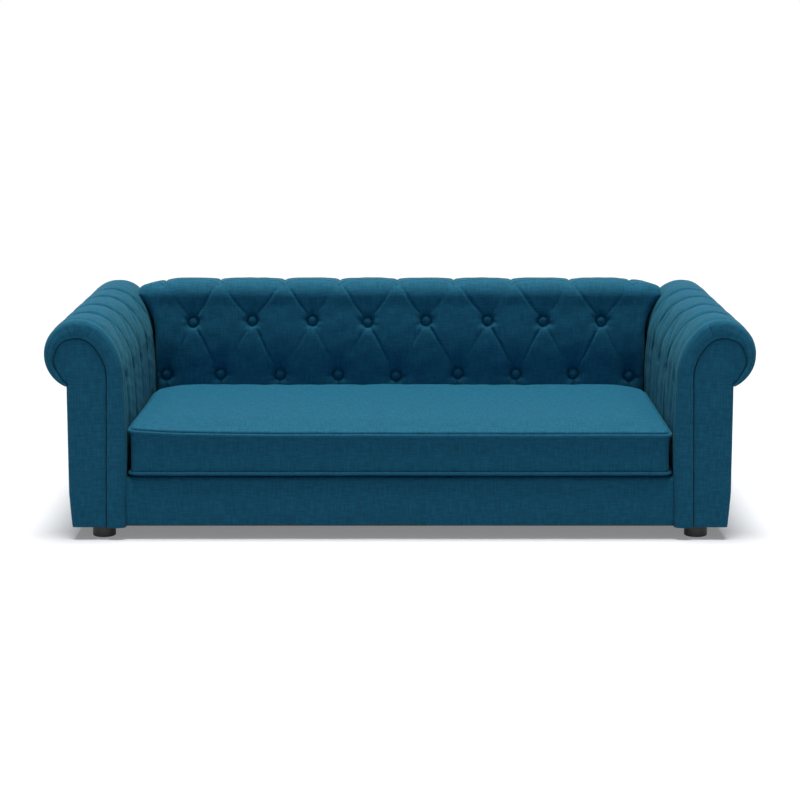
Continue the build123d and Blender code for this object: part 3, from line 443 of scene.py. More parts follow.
def grained(name, pale, dark, along, scale=28.0):
    """Sawn wood with its grain along one axis."""
    material, tree, shader = new_material(name)
    stretch = [9.0, 9.0, 9.0]
    stretch[along] = 0.54
    place = add_node(tree, "ShaderNodeTexCoord").outputs["Object"]
    place = vectors(tree, "MULTIPLY", place, tuple(stretch))
    grain = noise(tree, place, scale, 6, distortion=1.2)
    mixed = weighed(tree, grain, 0.75, noise(tree, place, scale * 9, 3), 0.25)
    tree.links.new(ramp(tree, mixed, (0.35, dark), (0.62, pale)), shader.inputs["Base Color"])
    raise_grain(tree, shader, mixed, 0.3, 0.0004)
    set_inputs(shader, {"Roughness": 0.62})
    return material


def speckled(name, pale, dark, scale, roughness, bump, metallic=0.0):
    """A moulded, pressed or cast finish: fine grain and a faint unevenness."""
    material, tree, shader = new_material(name)
    grain = noise(tree, add_node(tree, "ShaderNodeTexCoord").outputs["Object"], scale, 4)
    tree.links.new(ramp(tree, grain, (0.35, dark), (0.65, pale)), shader.inputs["Base Color"])
    rough = maths(tree, "ADD", maths(tree, "MULTIPLY", grain, 0.16), roughness - 0.08)
    tree.links.new(rough, shader.inputs["Roughness"])
    raise_grain(tree, shader, grain, bump, 0.0003)
    set_inputs(shader, {"Metallic": metallic})
    return material


teal = (0.0105, 0.138, 0.262)
materials = {
    "upholstery": woven("upholstery weave", teal),
    "button_cloth": woven("button cloth", shade(teal, 1.05)),
    "piping_cloth": woven("piping cloth", shade(teal, 0.98)),
    "deck_cloth": woven("deck cloth", (0.03, 0.032, 0.035), 0.0009),
    "dust_cloth": woven("dust cover cloth", (0.012, 0.012, 0.013), 0.0016, 0.8, 0.3),
    "zip_tape": woven("zip tape", (0.012, 0.09, 0.15), 0.0007, 0.6),
    "foam": speckled("foam", (0.82, 0.78, 0.62), (0.7, 0.64, 0.46), 420, 0.95, 0.8),
    "timber": grained("pine", (0.66, 0.46, 0.26), (0.43, 0.26, 0.12), 0),
    "plywood": grained("plywood", (0.62, 0.45, 0.27), (0.45, 0.29, 0.15), 2, 16),
    "hardboard": speckled("hardboard", (0.24, 0.15, 0.085), (0.15, 0.09, 0.05), 260, 0.8, 0.5),
    "foot_plastic": speckled(
        "foot plastic", (0.022, 0.022, 0.024), (0.013, 0.013, 0.014), 900, 0.48, 0.25
    ),
    "steel": speckled("zinc plated steel", (0.62, 0.62, 0.6), (0.42, 0.42, 0.4), 300, 0.34, 0.15, 1.0),
    "zip_metal": speckled("zip metal", (0.5, 0.48, 0.44), (0.3, 0.29, 0.27), 500, 0.3, 0.15, 1.0),
}


def dress_solids():
    """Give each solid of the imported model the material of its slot."""
    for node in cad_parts.values():
        for place in node.material_slots:
            named = place.material.name.split(".")[0]
            place.material = materials.get(named, materials["plywood"])


# Arms

def arm_profile():
    """The arm's cover across: from the notch under the roll, over it and down the inner side."""
    roll = arc((roll_x, roll_z), roll_radius, notch_angle, blend_angle, 90)
    blend = arc((blend_x, blend_z), blend_radius, blend_angle, 180)
    drop = line((arm_inner_x, blend_z), (arm_inner_x, deck_z - 0.004))
    bulge = np.sin(math.pi * unit((drop[:, 1] - deck_z) / (blend_z - deck_z)))
    drop[:, 0] -= 0.003 * bulge
    return joined(roll, blend, drop)


def arm_button_places():
    """Depths of the buttons in the arm's inner side, midway between the channels' creases."""
    first = front_y + channel_depths[0] - lobe_reach
    return [first + channel_pitch * step for step in range(5)]


def arm_relief(u, v, row, low, end, seed):
    """How deep the arm's cover is drawn in: u along the arm, v down from the notch."""
    bent = u + 0.0014 * ripple(u, v, 0.09, seed)
    buttons = arm_button_places()
    over = unit(v / row)
    on_roll = 1 - unit((v - row + 0.004) / 0.022)
    lobe = (0.0012 + 0.0062 * over ** 0.55) * on_roll
    crisp = 0.0036 * over ** 0.5 * on_roll
    depths = []
    dice = np.random.default_rng(seed + 5)
    for depth in channel_depths:
        place = front_y + depth
        away = bent - place - 0.004 * dice.uniform(-1, 1) * (over - 0.5)
        rounded = unit(1 - np.abs(away) / lobe_reach) ** 1.8
        ahead = 0.6 * valley(away, lobe_reach) + 0.4 * rounded
        behind = 0.34 * rounded + 0.66 * (1 - unit(away / 0.0046) ** 2) ** 2
        depths.append(lobe * np.where(away < 0, ahead, behind) + crisp * valley(away, 0.0036))
        depths.append(0.0098 * valley(np.hypot(u - place, (v - row) / 1.5), 0.017))
        for near in buttons:
            if abs(near - place) < channel_pitch:
                away, share = fold(bent, v, (place, row), (near, low))
                crease = 0.0030 * dice.uniform(0.4, 1.0) * valley(away, 0.006)
                depths.append(0.0050 * valley(away, 0.036) + crease)
        side = dice.choice((-1, 1))
        away, share = fold(u, v, (place, row - 0.002), (place + side * 0.013, row - 0.034))
        depths.append(0.0060 * valley(away, 0.005) * (1 - share))
    for place in buttons:
        away = np.hypot(u - place, (v - low) / np.where(v < low, 1.35, 1))
        depths.append(0.0092 * pit(away, 0.0075, 0.010))
        depths.append(0.0060 * pit(away, 0.0052, 0.030))
        away, share = fold(bent, v, (place, low), (place + 0.004 * dice.uniform(-1, 1), end))
        depths.append((0.0056 - 0.0026 * share) * valley(away, 0.034) + 0.0020 * valley(away, 0.006))
    depths.append(0.0090 * valley(u - cover_front_y, 0.026))
    depths.append(0.0050 * valley(u - cover_rear_y, 0.012))
    swell = np.where(v < row, 0.0036 * over, 0.0036 - 0.0021 * unit((v - row) / 0.04))
    strain = 0.0009 * unit((v - row) / 0.05) * ripple(u, v / 7, 0.026, seed + 3)
    relief = deepest(depths) - swell + strain + 0.0003 * ripple(u, v, 0.03, seed + 9)
    for number, place in enumerate(buttons):
        relief = relief - 0.0007 * pucker(u, v, (place, low), 0.0075, seed + 20 + number)
    return np.clip(relief, -0.0042, deepest_tuft)


def make_arm_cover(side, sign):
    """The channelled cover of one arm, over the roll and down the inner side."""
    along, profile = evenly(arm_profile(), grid_gap)
    normals = -left_normals(profile)
    u = np.arange(cover_front_y, cover_rear_y + grid_gap / 2, grid_gap)[:, None]
    v = along[None, :]
    turn = math.radians(arm_row_angle)
    row_place = (roll_x + roll_radius * math.cos(turn), roll_z + roll_radius * math.sin(turn))
    row = along[np.argmin(np.linalg.norm(profile - row_place, axis=1))]
    inner = profile[:, 0] < arm_inner_x + 0.001
    low = along[inner][np.argmin(np.abs(profile[inner][:, 1] - arm_button_z))]
    relief = arm_relief(u, v, row, low, along[-1], 11 if sign < 0 else 47)
    across, height = (profile[:, axis] - normals[:, axis] * relief for axis in (0, 1))
    points = grid(across * sign, u, height)
    cover = surface(f"arm_channelled_cover_{side}", points, grid(u, v), flip=sign > 0)
    finish_cover(cover, 0.002, f"arm_cover_{side}")


# Covered buttons

def button_piece(name, centre, outward, seed, radius, height):
    """A covered button: a domed cap drawn in under its rim, with the cloth pulled round it."""
    up, out = np.array((0.0, 0.0, 1.0)), np.array(outward, float)
    turns = np.linspace(0, 2 * math.pi, 29)
    steps = np.array((-0.3, -0.12, 0.05, 0.2, 0.35, 0.5, 0.64, 0.76, 0.86, 0.94, 0.985, 1.0))[:, None]
    widths = np.array((0.86, 0.95, 1.0, 0.99, 0.955, 0.89, 0.8, 0.68, 0.53, 0.36, 0.18, 0.012))
    dice = np.random.default_rng(seed)
    spin = dice.uniform(0, 2 * math.pi)
    pulls = 0.012 * np.sin(9 * turns + spin) + 0.008 * np.sin(4 * turns + 2 * spin)
    reach = radius * widths[:, None] * (1 + pulls * (1 - steps) ** 2)
    across, along = reach * np.cos(turns + spin), reach * np.sin(turns + spin)
    tilt = 0.12 * dice.uniform(-1, 1, 2)
    lift = height * steps + across * tilt[0] + along * tilt[1]
    axes = ((across, np.cross(up, out)), (along, up), (lift, out))
    points = np.array(centre) + sum(reach[..., None] * axis for reach, axis in axes)
    uv = grid(across, along) + dice.uniform(0, 1, 2)
    return surface(name, points[:, :-1], uv, round_columns=True)


def make_button_row(name, node, buttons, radius, height):
    """Covered buttons as one piece: each has its centre, the way it faces and a seed."""
    made = [button_piece(name, *button, radius, height) for button in buttons]
    dress(joined_piece(name, made), "button_cloth", "root", node)


# Back

def arm_face_x(z):
    """How far across the arm's plain inner surface lies at a height, up to the roll's top."""
    z = np.asarray(z, float)
    join_z = roll_z + roll_radius * blend_sin
    blend = blend_x - np.sqrt(np.maximum(blend_radius ** 2 - (z - blend_z) ** 2, 0))
    roll = roll_x - np.sqrt(np.maximum(roll_radius ** 2 - (z - roll_z) ** 2, 0))
    return np.where(z < blend_z, arm_inner_x, np.where(z < join_z, blend, roll))


def back_face_bulge(z):
    """How far the back's front stands out at a height."""
    share = unit((z - deck_z) / (back_turn_z - deck_z))
    return 0.004 * np.sin(math.pi * share)


def back_profile():
    """The back's cover in depth and height: up the front, over the top and down the rear roll."""
    front = line((back_front_y, deck_z - 0.004), (back_front_y, back_turn_z), 60)
    front[:, 0] -= back_face_bulge(front[:, 1])
    turn = arc((back_turn_y, back_turn_z), back_turn_radius, 180, 90)
    top = line((back_turn_y, back_top_z), (back_roll_y, back_top_z))
    notch = -math.degrees(math.acos((arm_rear_y - back_roll_y) / back_roll_radius))
    roll = arc((back_roll_y, back_roll_z), back_roll_radius, 90, notch, 90)
    return joined(front, turn, top, roll)


def back_relief(x, s, low, high, crest, half):
    """How deep the back's cover is drawn in: x across, s up the front and over the top."""
    bent = x + 0.0015 * ripple(x, s, 0.08, 3)
    depths = []
    lows = [(place, low + rise) for place, rise in zip(lower_button_places, lower_button_rises)]
    highs = [(place, high + rise) for place, rise in zip(upper_button_places, upper_button_rises)]
    crests = [(place, crest) for place in crest_notch_places]
    for number, button in enumerate(highs):
        ends = crests[number : number + 2] + lows[number : number + 2]
        for end, strength in zip(ends, fold_shares[number]):
            away, share = fold(bent, s, button, end)
            crisp = strength * np.sqrt(unit(1 - share / (0.3 + 0.9 * strength)))
            broad = 0.0019 * valley(away, 0.034) * (1 - 0.5 * np.sin(math.pi * share))
            depths.append(broad + 0.0044 * crisp * valley(away, 0.0042))
    for number, (place, row) in enumerate(highs + lows):
        near, far = (1.1, 1.4) if number < len(highs) else (1.25, 2.1)
        for stretch, depth, rim, reach in ((near, 0.0094, 0.0086, 0.009), (far, 0.0058, 0.0080, 0.020)):
            away = np.hypot(x - place, (s - row) / np.where(s > row, stretch, 1))
            depths.append(depth * pit(away, rim, reach))
    for number, (place, row) in enumerate(lows):
        dice = np.random.default_rng(60 + number)
        away, share = fold(bent, s, (place, row), (place + 0.005 * dice.uniform(-1, 1), 0.0))
        depths.append(0.0018 * valley(away, 0.03) + (0.0042 - 0.0014 * share) * valley(away, 0.0042))
    for place, _ in crests:
        away = np.hypot(x - place, (s - crest) / 1.2)
        depths.append(0.0090 * pit(away, 0.001, 0.014))
        depths.append(0.0046 * valley(away, 0.030))
        away, share = fold(bent, s, (place, crest), (place, crest + 0.11))
        depths.append((1 - share ** 2) * (0.0046 * valley(away, 0.034) + 0.0020 * valley(away, 0.006)))
        tuck = s - crest - 0.005 + 0.3 * (x - place)
        depths.append(0.0088 * valley(tuck, 0.004) * (np.abs(x - place) < 0.009))
    for left, right in zip(crest_notch_places, crest_notch_places[1:]):
        middle, width = (left + right) / 2, (right - left) / 2
        share = np.clip((x - middle) / width, -1, 1)
        arch = crest + 0.0125 * np.maximum(1 - share ** 2, 0) ** 0.55
        depths.append(0.0066 * valley(s - arch - 0.004, 0.0075) * (np.abs(x - middle) <= width))
    depths.append(0.0060 * valley(np.maximum(half - np.abs(x), 0), 0.012))
    between = np.sin(math.pi * unit((s - low + 0.004) / (crest - 0.03 - low))) ** 1.5
    relief = deepest(depths) - 0.0016 - 0.0026 * between + 0.0003 * ripple(x, s, 0.03, 8)
    for number, button in enumerate(highs + lows):
        relief = relief - 0.0009 * pucker(x, s, button, 0.0085, 100 + number)
    return np.clip(relief, -0.0046, deepest_tuft)


def squarer(turn, radius, less):
    """How far a corner of a lesser radius lies outside a round one, at a turn of 0 to 90 degrees."""
    across, up = np.cos(turn), np.sin(turn)
    straight = radius / np.maximum(across, up)
    shift = radius - less
    ahead = (across + up) * shift
    round_part = ahead + np.sqrt(np.maximum(ahead ** 2 - 2 * shift ** 2 + less ** 2, 0))
    beside = straight * np.minimum(across, up) < shift
    return np.where(beside, straight, round_part) - radius


def make_back():
    """The tufted back between the arms, with its buttons."""
    along, profile = evenly(back_profile(), back_grid_gap)
    normals = left_normals(profile)
    last = int(np.argmin(profile[:, 1] < back_top_z - 0.0005))
    low, high, crest, turn_start = np.interp(
        (lower_button_z, upper_button_z, back_turn_z + back_turn_radius * 0.858, back_turn_z),
        profile[:last, 1], along[:last],
    )
    arm_x = arm_face_x(np.minimum(profile[:, 1], arm_top_z))
    half = np.minimum(arm_x - 0.0046, back_widest)
    half = np.where(profile[:, 1] >= arm_top_z - 0.012, back_widest, half)
    half = np.where(profile[:, 0] > back_roll_y + 0.02, np.minimum(arm_x - 0.0008, back_widest), half)
    columns = int(2 * half.max() / back_grid_gap)
    x = np.linspace(-1, 1, columns + 1)[None, :] * half[:, None]
    s = along[:, None]
    relief = back_relief(x, s, low, high, crest, half[:, None])
    past = np.clip((np.abs(x) - 0.345) / 0.07, 0, 1.1) ** 2.5
    sag = np.interp(along, (0, high, crest, crest + 0.05, along[-1]), (0.05, 0.1, 0.6, 1.0, 0.3))
    turned = np.clip((along - turn_start) / back_turn_radius, 0, math.pi / 2)
    lip = squarer(turned, back_turn_radius, back_lip_radius)
    relief = relief + 0.0145 * past * sag[:, None] - lip[:, None]
    y, z = (profile[:, [axis]] - normals[:, [axis]] * relief for axis in (0, 1))
    points, uv = grid(x, y, z), grid(x, s)
    insets = (0.002, 0.005, 0.009, 0.015, 0.024, 0.033)
    bulges = (0.0006, 0.0008, 0.0004, -0.0006, -0.003, -0.006)
    for sign in (-1, 1):
        column = 0 if sign < 0 else -1
        cap = [(points, uv)]
        for inset, bulge in zip(insets, bulges):
            moved = points[:, [column]]
            moved[..., 0] += sign * bulge
            moved[:, 0, 1:] -= normals * inset
            cap.append((moved, uv[:, [column]] + (sign * inset, 0)))
        points, uv = (np.concatenate(part[::sign], 1) for part in zip(*cap))
    finish_cover(surface("back_tufted_cover", points, uv), 0.002, "back_cover")

    rows = (
        ("back_buttons_upper", upper_button_z, upper_button_places, upper_button_rises, 200),
        ("back_buttons_lower", lower_button_z, lower_button_places, lower_button_rises, 220),
    )
    for node, height, places, rises, seed in rows:
        buttons = []
        for number, (x, rise) in enumerate(zip(places, rises)):
            y = back_front_y - float(back_face_bulge(height + rise)) + 0.0068
            buttons.append(((x, y, height + rise), (0, -1, 0), seed + number))
        make_button_row(node + "_covered", node, buttons, 0.0077, 0.0058)


# Arm ends

border_widths = (
    (-67.7, 0.0006), (-62.0, 0.0018), (-45.0, 0.0072), (-16.0, 0.0097), (5.0, 0.0139),
    (42.0, 0.0185), (63.0, 0.0220), (88.0, 0.0234), (117.0, 0.0240), (135.0, 0.0230),
)

# Angle round the roll and strength of each pleat
pleats = {
    "left": ((83, 1.0), (66, 0.3), (120, 0.3)),
    "right": ((116, 0.9), (-4, 0.8), (80, 0.3), (50, 0.3)),
}


def arm_end_outline():
    """The scroll outline from the inner foot over the roll to the notch, with the border's width."""
    up = line((arm_inner_x, floor_gap), (arm_inner_x, blend_z), 60)
    blend = arc((blend_x, blend_z), blend_radius, 180, blend_angle, 40)
    roll = arc((roll_x, roll_z), roll_radius, blend_angle, notch_angle, 120)
    up[:, 0] -= 0.0032 * np.sin(math.pi * unit((up[:, 1] - 0.03) / (blend_z - 0.02))) ** 2
    along, outline = evenly(joined(up, blend, roll), 0.0018)
    turn = np.degrees(np.arctan2(outline[:, 1] - roll_z, outline[:, 0] - roll_x))
    turn = np.where(turn < -100, 135, turn)
    angles, widths = np.array(border_widths).T
    inner = outline[:, 0] < roll_x
    width = np.where(
        (outline[:, 1] < blend_z) & inner,
        np.interp(outline[:, 1], (floor_gap, 0.09, 0.2, blend_z), (0.4170, 0.4156, 0.4134, 0.4125))
        - outline[:, 0],
        np.interp(turn, angles, widths),
    )
    blend_rows = (outline[:, 1] >= blend_z) & (outline[:, 0] < roll_x + roll_radius * blend_cos)
    width = np.where(inner | (turn < 90), width, 0.0234)
    rise = (outline[:, 1] - blend_z) / (roll_radius * blend_sin + roll_z - blend_z)
    width = np.where(blend_rows, 0.0205 + 0.0025 * unit(rise), width)
    kernel = np.hanning(15) / np.hanning(15).sum()
    smooth = np.convolve(np.pad(width, 7, mode="edge"), kernel, mode="valid")
    return along, outline, smooth


def seam_curve():
    """The seam between the border and the facing."""
    along, outline, width = arm_end_outline()
    return outline - left_normals(outline) * width[:, None]


def make_border(side, sign):
    """The padded strip round the facing, with its small pleats over the roll."""
    along, outline, width = arm_end_outline()
    normals = left_normals(outline)
    edge = np.minimum(0.0072, 0.55 * width)
    near = np.minimum(0.0024, 0.3 * width)
    runs = [(-0.0005, 0.0082)]
    for share in (0.0, 0.08, 0.22, 0.42, 0.7):
        runs.append((0.0009 + share * (near - 0.0009), 0.0008 + 0.0052 * valley(share, 1)))
    for share in np.linspace(0, 1, 10):
        back = 0.0008 - 0.0010 * math.sin(math.pi * share)
        runs.append((near + share * (width - edge - near), back))
    for turn in np.radians(np.linspace(10, 90, 8)):
        runs.append((width - edge + edge * math.sin(turn), 0.0008 + edge * (1 - math.cos(turn))))
    runs.append((width, cover_front_y - front_y + 0.0015))
    reaches, backs = (np.stack([part + 0 * width for part in parts], 1) for parts in zip(*runs))
    from_roll = outline - (roll_x, roll_z)
    turn = np.degrees(np.arctan2(from_roll[:, 1], from_roll[:, 0]))
    rolled = np.linalg.norm(from_roll, axis=1) < roll_radius + 0.0003
    share = unit(reaches / np.maximum(width, 0.001)[:, None])
    for angle, strength in pleats[side]:
        past = along[:, None] - float(np.interp(-angle, -turn[rolled], along[rolled]))
        backs = backs + 0.0044 * strength * valley(past, 0.0034) * (0.35 + 0.65 * share)
        backs = backs + 0.0006 * strength * valley(past - 0.004, 0.009)
    backs = backs + 0.00025 * ripple(along[:, None], reaches, 0.03, 31 + sign)
    flat = outline[:, None, :] - normals[:, None, :] * (width[:, None] - reaches)[..., None]
    points = grid(flat[..., 0] * sign, front_y + backs, flat[..., 1])
    uv = grid(along[:, None], reaches + backs)
    under = np.maximum(points[:1, :, 1], cover_front_y - 0.001)
    points, uv = hem_below(points, uv, under, (-0.011, 0))
    border = surface(f"arm_front_border_{side}_padded", points, uv, flip=sign < 0)
    finish_cover(border, 0.0015, f"arm_front_border_{side}")


def across_rows(curve, low_z, outer_x, gap):
    """Rows of a panel inside a curve: heights, with the inner and the outer end of each row."""
    top = int(np.argmax(curve[:, 1]))
    inner, outer = curve[: top + 1], curve[top:][::-1]
    top_z = curve[top, 1] - 0.0002
    count = int((top_z - low_z) / gap)
    steps = np.linspace(0, 1, count)
    heights = low_z + (top_z - low_z) * steps
    close = top_z - 0.012 * (1 - np.sin(np.linspace(0, math.pi / 2, 12)))
    heights = np.concatenate([heights[heights < close[0] - gap / 2], close])
    inner_x = np.interp(heights, inner[:, 1], inner[:, 0])
    outer_end = np.interp(heights, outer[:, 1], outer[:, 0])
    plain = outer_x(heights)
    return heights, inner_x, np.where(heights < outer[0, 1], plain, outer_end)


def arm_body_outer_x(z):
    """The arm's outer side below the notch, drawn in towards the floor."""
    return arm_outer_x - 0.004 * unit((floor_gap + 0.052 - z) / 0.052) ** 1.2


def nearest(points, curve):
    """The distance from each point of a grid to a dense curve."""
    flat = points.reshape(-1, 2)
    found = np.full(len(flat), 1e9)
    for start in range(0, len(curve), 64):
        part = curve[start : start + 64]
        gaps = np.linalg.norm(flat[:, None, :] - part[None, :, :], axis=2)
        found = np.minimum(found, gaps.min(1))
    return found.reshape(points.shape[:-1])


def make_facing(side, sign):
    """The flat scroll panel inside the border, rounded over the arm's outer edge."""
    curve = evenly(seam_curve(), 0.0008)[1]
    heights, inner_x, outer_x = across_rows(curve, floor_gap, arm_body_outer_x, 0.0024)
    inner_x = inner_x + 0.0009
    outer_x = np.where(heights > curve[-1, 1], np.maximum(outer_x - 0.0009, inner_x + 0.0004), outer_x)
    middle = np.linspace(0.055, 0.945, 30)
    shares = np.array([0, 0.004, 0.011, 0.02, 0.034, *middle, 0.966, 0.98, 0.989, 0.996, 1])
    x = inner_x[:, None] + (outer_x - inner_x)[:, None] * shares
    z = np.broadcast_to(heights[:, None], x.shape)
    seam = nearest(grid(x, z), curve)
    back = 0.0022 + 0.0042 * valley(seam - 0.0007, 0.0019) - 0.0013 * (1 - np.exp(-seam / 0.014))
    free = unit((notch_z - z) / 0.004)
    back = back + rounded_off(np.maximum(outer_x[:, None] - x, 0), 0.0045) * free
    back = back + 0.00025 * ripple(x, z, 0.035, 70 + sign)
    points = grid(x * sign, front_y + back, z)
    rim_y = np.where(heights < notch_z, cover_front_y + 0.0005, front_y + 0.0085)[:, None]
    points, uv = turned_in(points, grid(x, z), "left", front_y + 0.0095, (-0.005, 0))
    points, uv = turned_in(points, uv, "right", rim_y, (0.008, 0))
    points, uv = hem_below(points, uv, cover_front_y - 0.001, (0, -0.01))
    facing = surface(f"arm_front_facing_{side}_panel", points, uv, flip=sign < 0)
    finish_cover(facing, 0.0012, f"arm_front_facing_{side}")


def make_outer_cover(side, sign):
    """The cloth over the arm's outer side, tucked in under the roll and drawn in at the floor."""
    y = np.linspace(cover_front_y, cover_rear_y, 150)[None, :]
    z = np.linspace(floor_gap, notch_z + 0.0015, 70)[:, None]
    ends = np.minimum(y - cover_front_y, cover_rear_y - y)
    relief = 0.0010 * valley(ends, 0.006) + 0.0022 * valley(notch_z + 0.001 - z, 0.008)
    relief = relief - 0.0006 + 0.0004 * ripple(y, z, 0.06, 90 + sign)
    points = grid((arm_body_outer_x(z) - relief) * sign, y, z)
    under = points[:1, :, 0] - sign * hem_width
    points, uv = hem_below(points, grid(y, z), under, (0, -hem_width), axis=0)
    cover = surface(f"arm_outer_cover_{side}_cloth", points, uv, flip=sign < 0)
    finish_cover(cover, 0.0012, f"arm_outer_cover_{side}")


def make_rear_facing(side, sign):
    """The flat scroll panel on the arm's rear end."""
    outline = evenly(arm_end_outline()[1], 0.0012)[1]
    heights, inner_x, outer_x = across_rows(outline, floor_gap, arm_body_outer_x, 0.0026)
    shares = (1 - np.cos(np.linspace(0, math.pi, 40))) / 2
    x = inner_x[:, None] + (outer_x - inner_x)[:, None] * shares
    z = np.broadcast_to(heights[:, None], x.shape)
    seam = nearest(grid(x, z), outline)
    seam = np.minimum(seam, np.maximum(outer_x[:, None] - x, 0) + 1.0 * (z > notch_z))
    out = 0.0006 * (1 - np.exp(-seam / 0.02)) - rounded_off(seam, 0.0032)
    out = out + 0.0003 * ripple(x, z, 0.04, 80 + sign)
    points, uv = grid(x * sign, arm_rear_y + out, z), grid(x, z)
    for end, shift in (("left", (-0.004, 0)), ("right", (0.004, 0)), ("high", (0, 0.004))):
        points, uv = turned_in(points, uv, end, arm_rear_y - 0.0055, shift)
    facing = surface(f"arm_rear_facing_{side}_panel", points, uv, flip=sign > 0)
    finish_cover(facing, 0.0012, f"arm_rear_facing_{side}")


def make_arm_buttons():
    """The small covered buttons in the inner sides of both arms."""
    bulge = 0.003 * math.sin(math.pi * (arm_button_z - deck_z) / (blend_z - deck_z))
    x = arm_inner_x - bulge + 0.0066
    buttons = [
        ((x * sign, place, arm_button_z), (-sign, 0, 0), 300 + number)
        for side, sign in sides
        for number, place in enumerate(arm_button_places())
    ]
    make_button_row("arm_buttons_covered", "arm_buttons", buttons, 0.0065, 0.0048)


# Base and rear

def make_base_pad():
    """The padded band under the cushion: rounded over its top edge, with a hem at the bottom."""
    front, low_z, top_z, round_radius = pad_low.y, pad_low.z, pad_high.z, 0.008
    face_y, bend_z = front + 0.0008, top_z - round_radius
    face = line((face_y, low_z + 0.002), (face_y, bend_z), 30)
    face[:, 0] -= 0.0010 * np.sin(math.pi * np.linspace(0, 1, 31)) ** 0.7
    hem = np.array([(front + 0.010, low_z + 0.0004), (front + 0.003, low_z + 0.0002)])
    turn = arc((face_y + round_radius, bend_z), round_radius, 180, 90, 10)
    top = line((face_y + round_radius, top_z), (pad_high.y, top_z), 4)
    along, profile = evenly(joined(hem, face, turn, top), 0.0019)
    normals = left_normals(profile)
    x = np.linspace(pad_low.x + 0.0004, pad_high.x - 0.0004, 340)[:, None]
    v = along[None, :]
    edge = np.minimum(x - pad_low.x, pad_high.x - x)
    relief = 0.0030 * valley(edge, 0.007) + 0.00045 * ripple(x / 3, v, 0.05, 21)
    relief = relief + 0.0003 * ripple(x, v, 0.09, 22)
    y, z = (profile[:, axis] - normals[:, axis] * relief for axis in (0, 1))
    points = grid(x, y, z)
    pad = surface("base_front_padded", points, grid(x, v), flip=True)
    finish_cover(pad, 0.002, "base_front_pad")


def make_rear_cover():
    """The plain cloth panel behind the back, between the arms and under the roll."""
    reach, top_z = arm_inner_x - 0.0012, rear_high.z + 0.004
    x = np.linspace(-reach, reach, 264)[None, :]
    z = np.linspace(rear_low.z, top_z, 90)[:, None]
    ends = np.minimum(reach - np.abs(x), top_z - z)
    out = 0.0011 - 0.0018 * valley(ends, 0.007) + 0.0005 * ripple(x, z, 0.11, 41)
    points, uv = grid(x, arm_rear_y + out, z), grid(x, z)
    points, uv = turned_in(points, uv, "left", points[:, :1, 1] - hem_width, (-hem_width, 0))
    points, uv = turned_in(points, uv, "right", points[:, -1:, 1] - hem_width, (hem_width, 0))
    points, uv = hem_below(points, uv, points[:1, :, 1] - hem_width, (0, -hem_width))
    finish_cover(surface("back_rear_cloth", points, uv, flip=True), 0.0012, "back_rear_cover")


# Cushion

cushion_half = 0.3836
cushion_front_y = front_y + 0.0035
cushion_rear_y = 0.147
front_corner = 0.012
rear_corner = 0.050
low_seam_z = 0.096
high_seam_z = 0.1504
core_seam_z = 0.153
crown_reaches = (0.0, 0.0088, 0.0264, 0.0605, 0.11)
crown_rises = (0.0, 0.0035, 0.0060, 0.0078, 0.0085)
seam_radius = 0.0024
seam_height = high_seam_z - low_seam_z
band_levels = (0.05, 0.14, 0.3, 0.45, 0.6, 0.75, 0.87, 0.955)
cloth_values = {
    "quality": 6, "mass": 0.3, "tension_stiffness": 25, "compression_stiffness": 25,
    "shear_stiffness": 12, "bending_stiffness": 1.5, "use_pressure": True,
    "uniform_pressure_force": 4.0, "shrink_min": -0.006, "vertex_group_mass": "held",
}


def cushion_rows():
    """Depths of the cushion's rows with the half width of each, round at the corners."""
    turn = np.radians(np.linspace(0, 90, 5))
    front_rows = cushion_front_y + front_corner * (1 - np.cos(turn))
    front_halves = cushion_half - front_corner * (1 - np.sin(turn))
    turn = np.radians(np.linspace(90, 0, 8))
    rear_rows = cushion_rear_y - rear_corner * (1 - np.cos(turn))
    rear_halves = cushion_half - rear_corner * (1 - np.sin(turn))
    middle = np.linspace(front_rows[-1], rear_rows[0], 40)[1:-1]
    rows = np.concatenate([front_rows, middle, rear_rows])
    halves = np.concatenate([front_halves, np.full(len(middle), cushion_half), rear_halves])
    return rows, halves


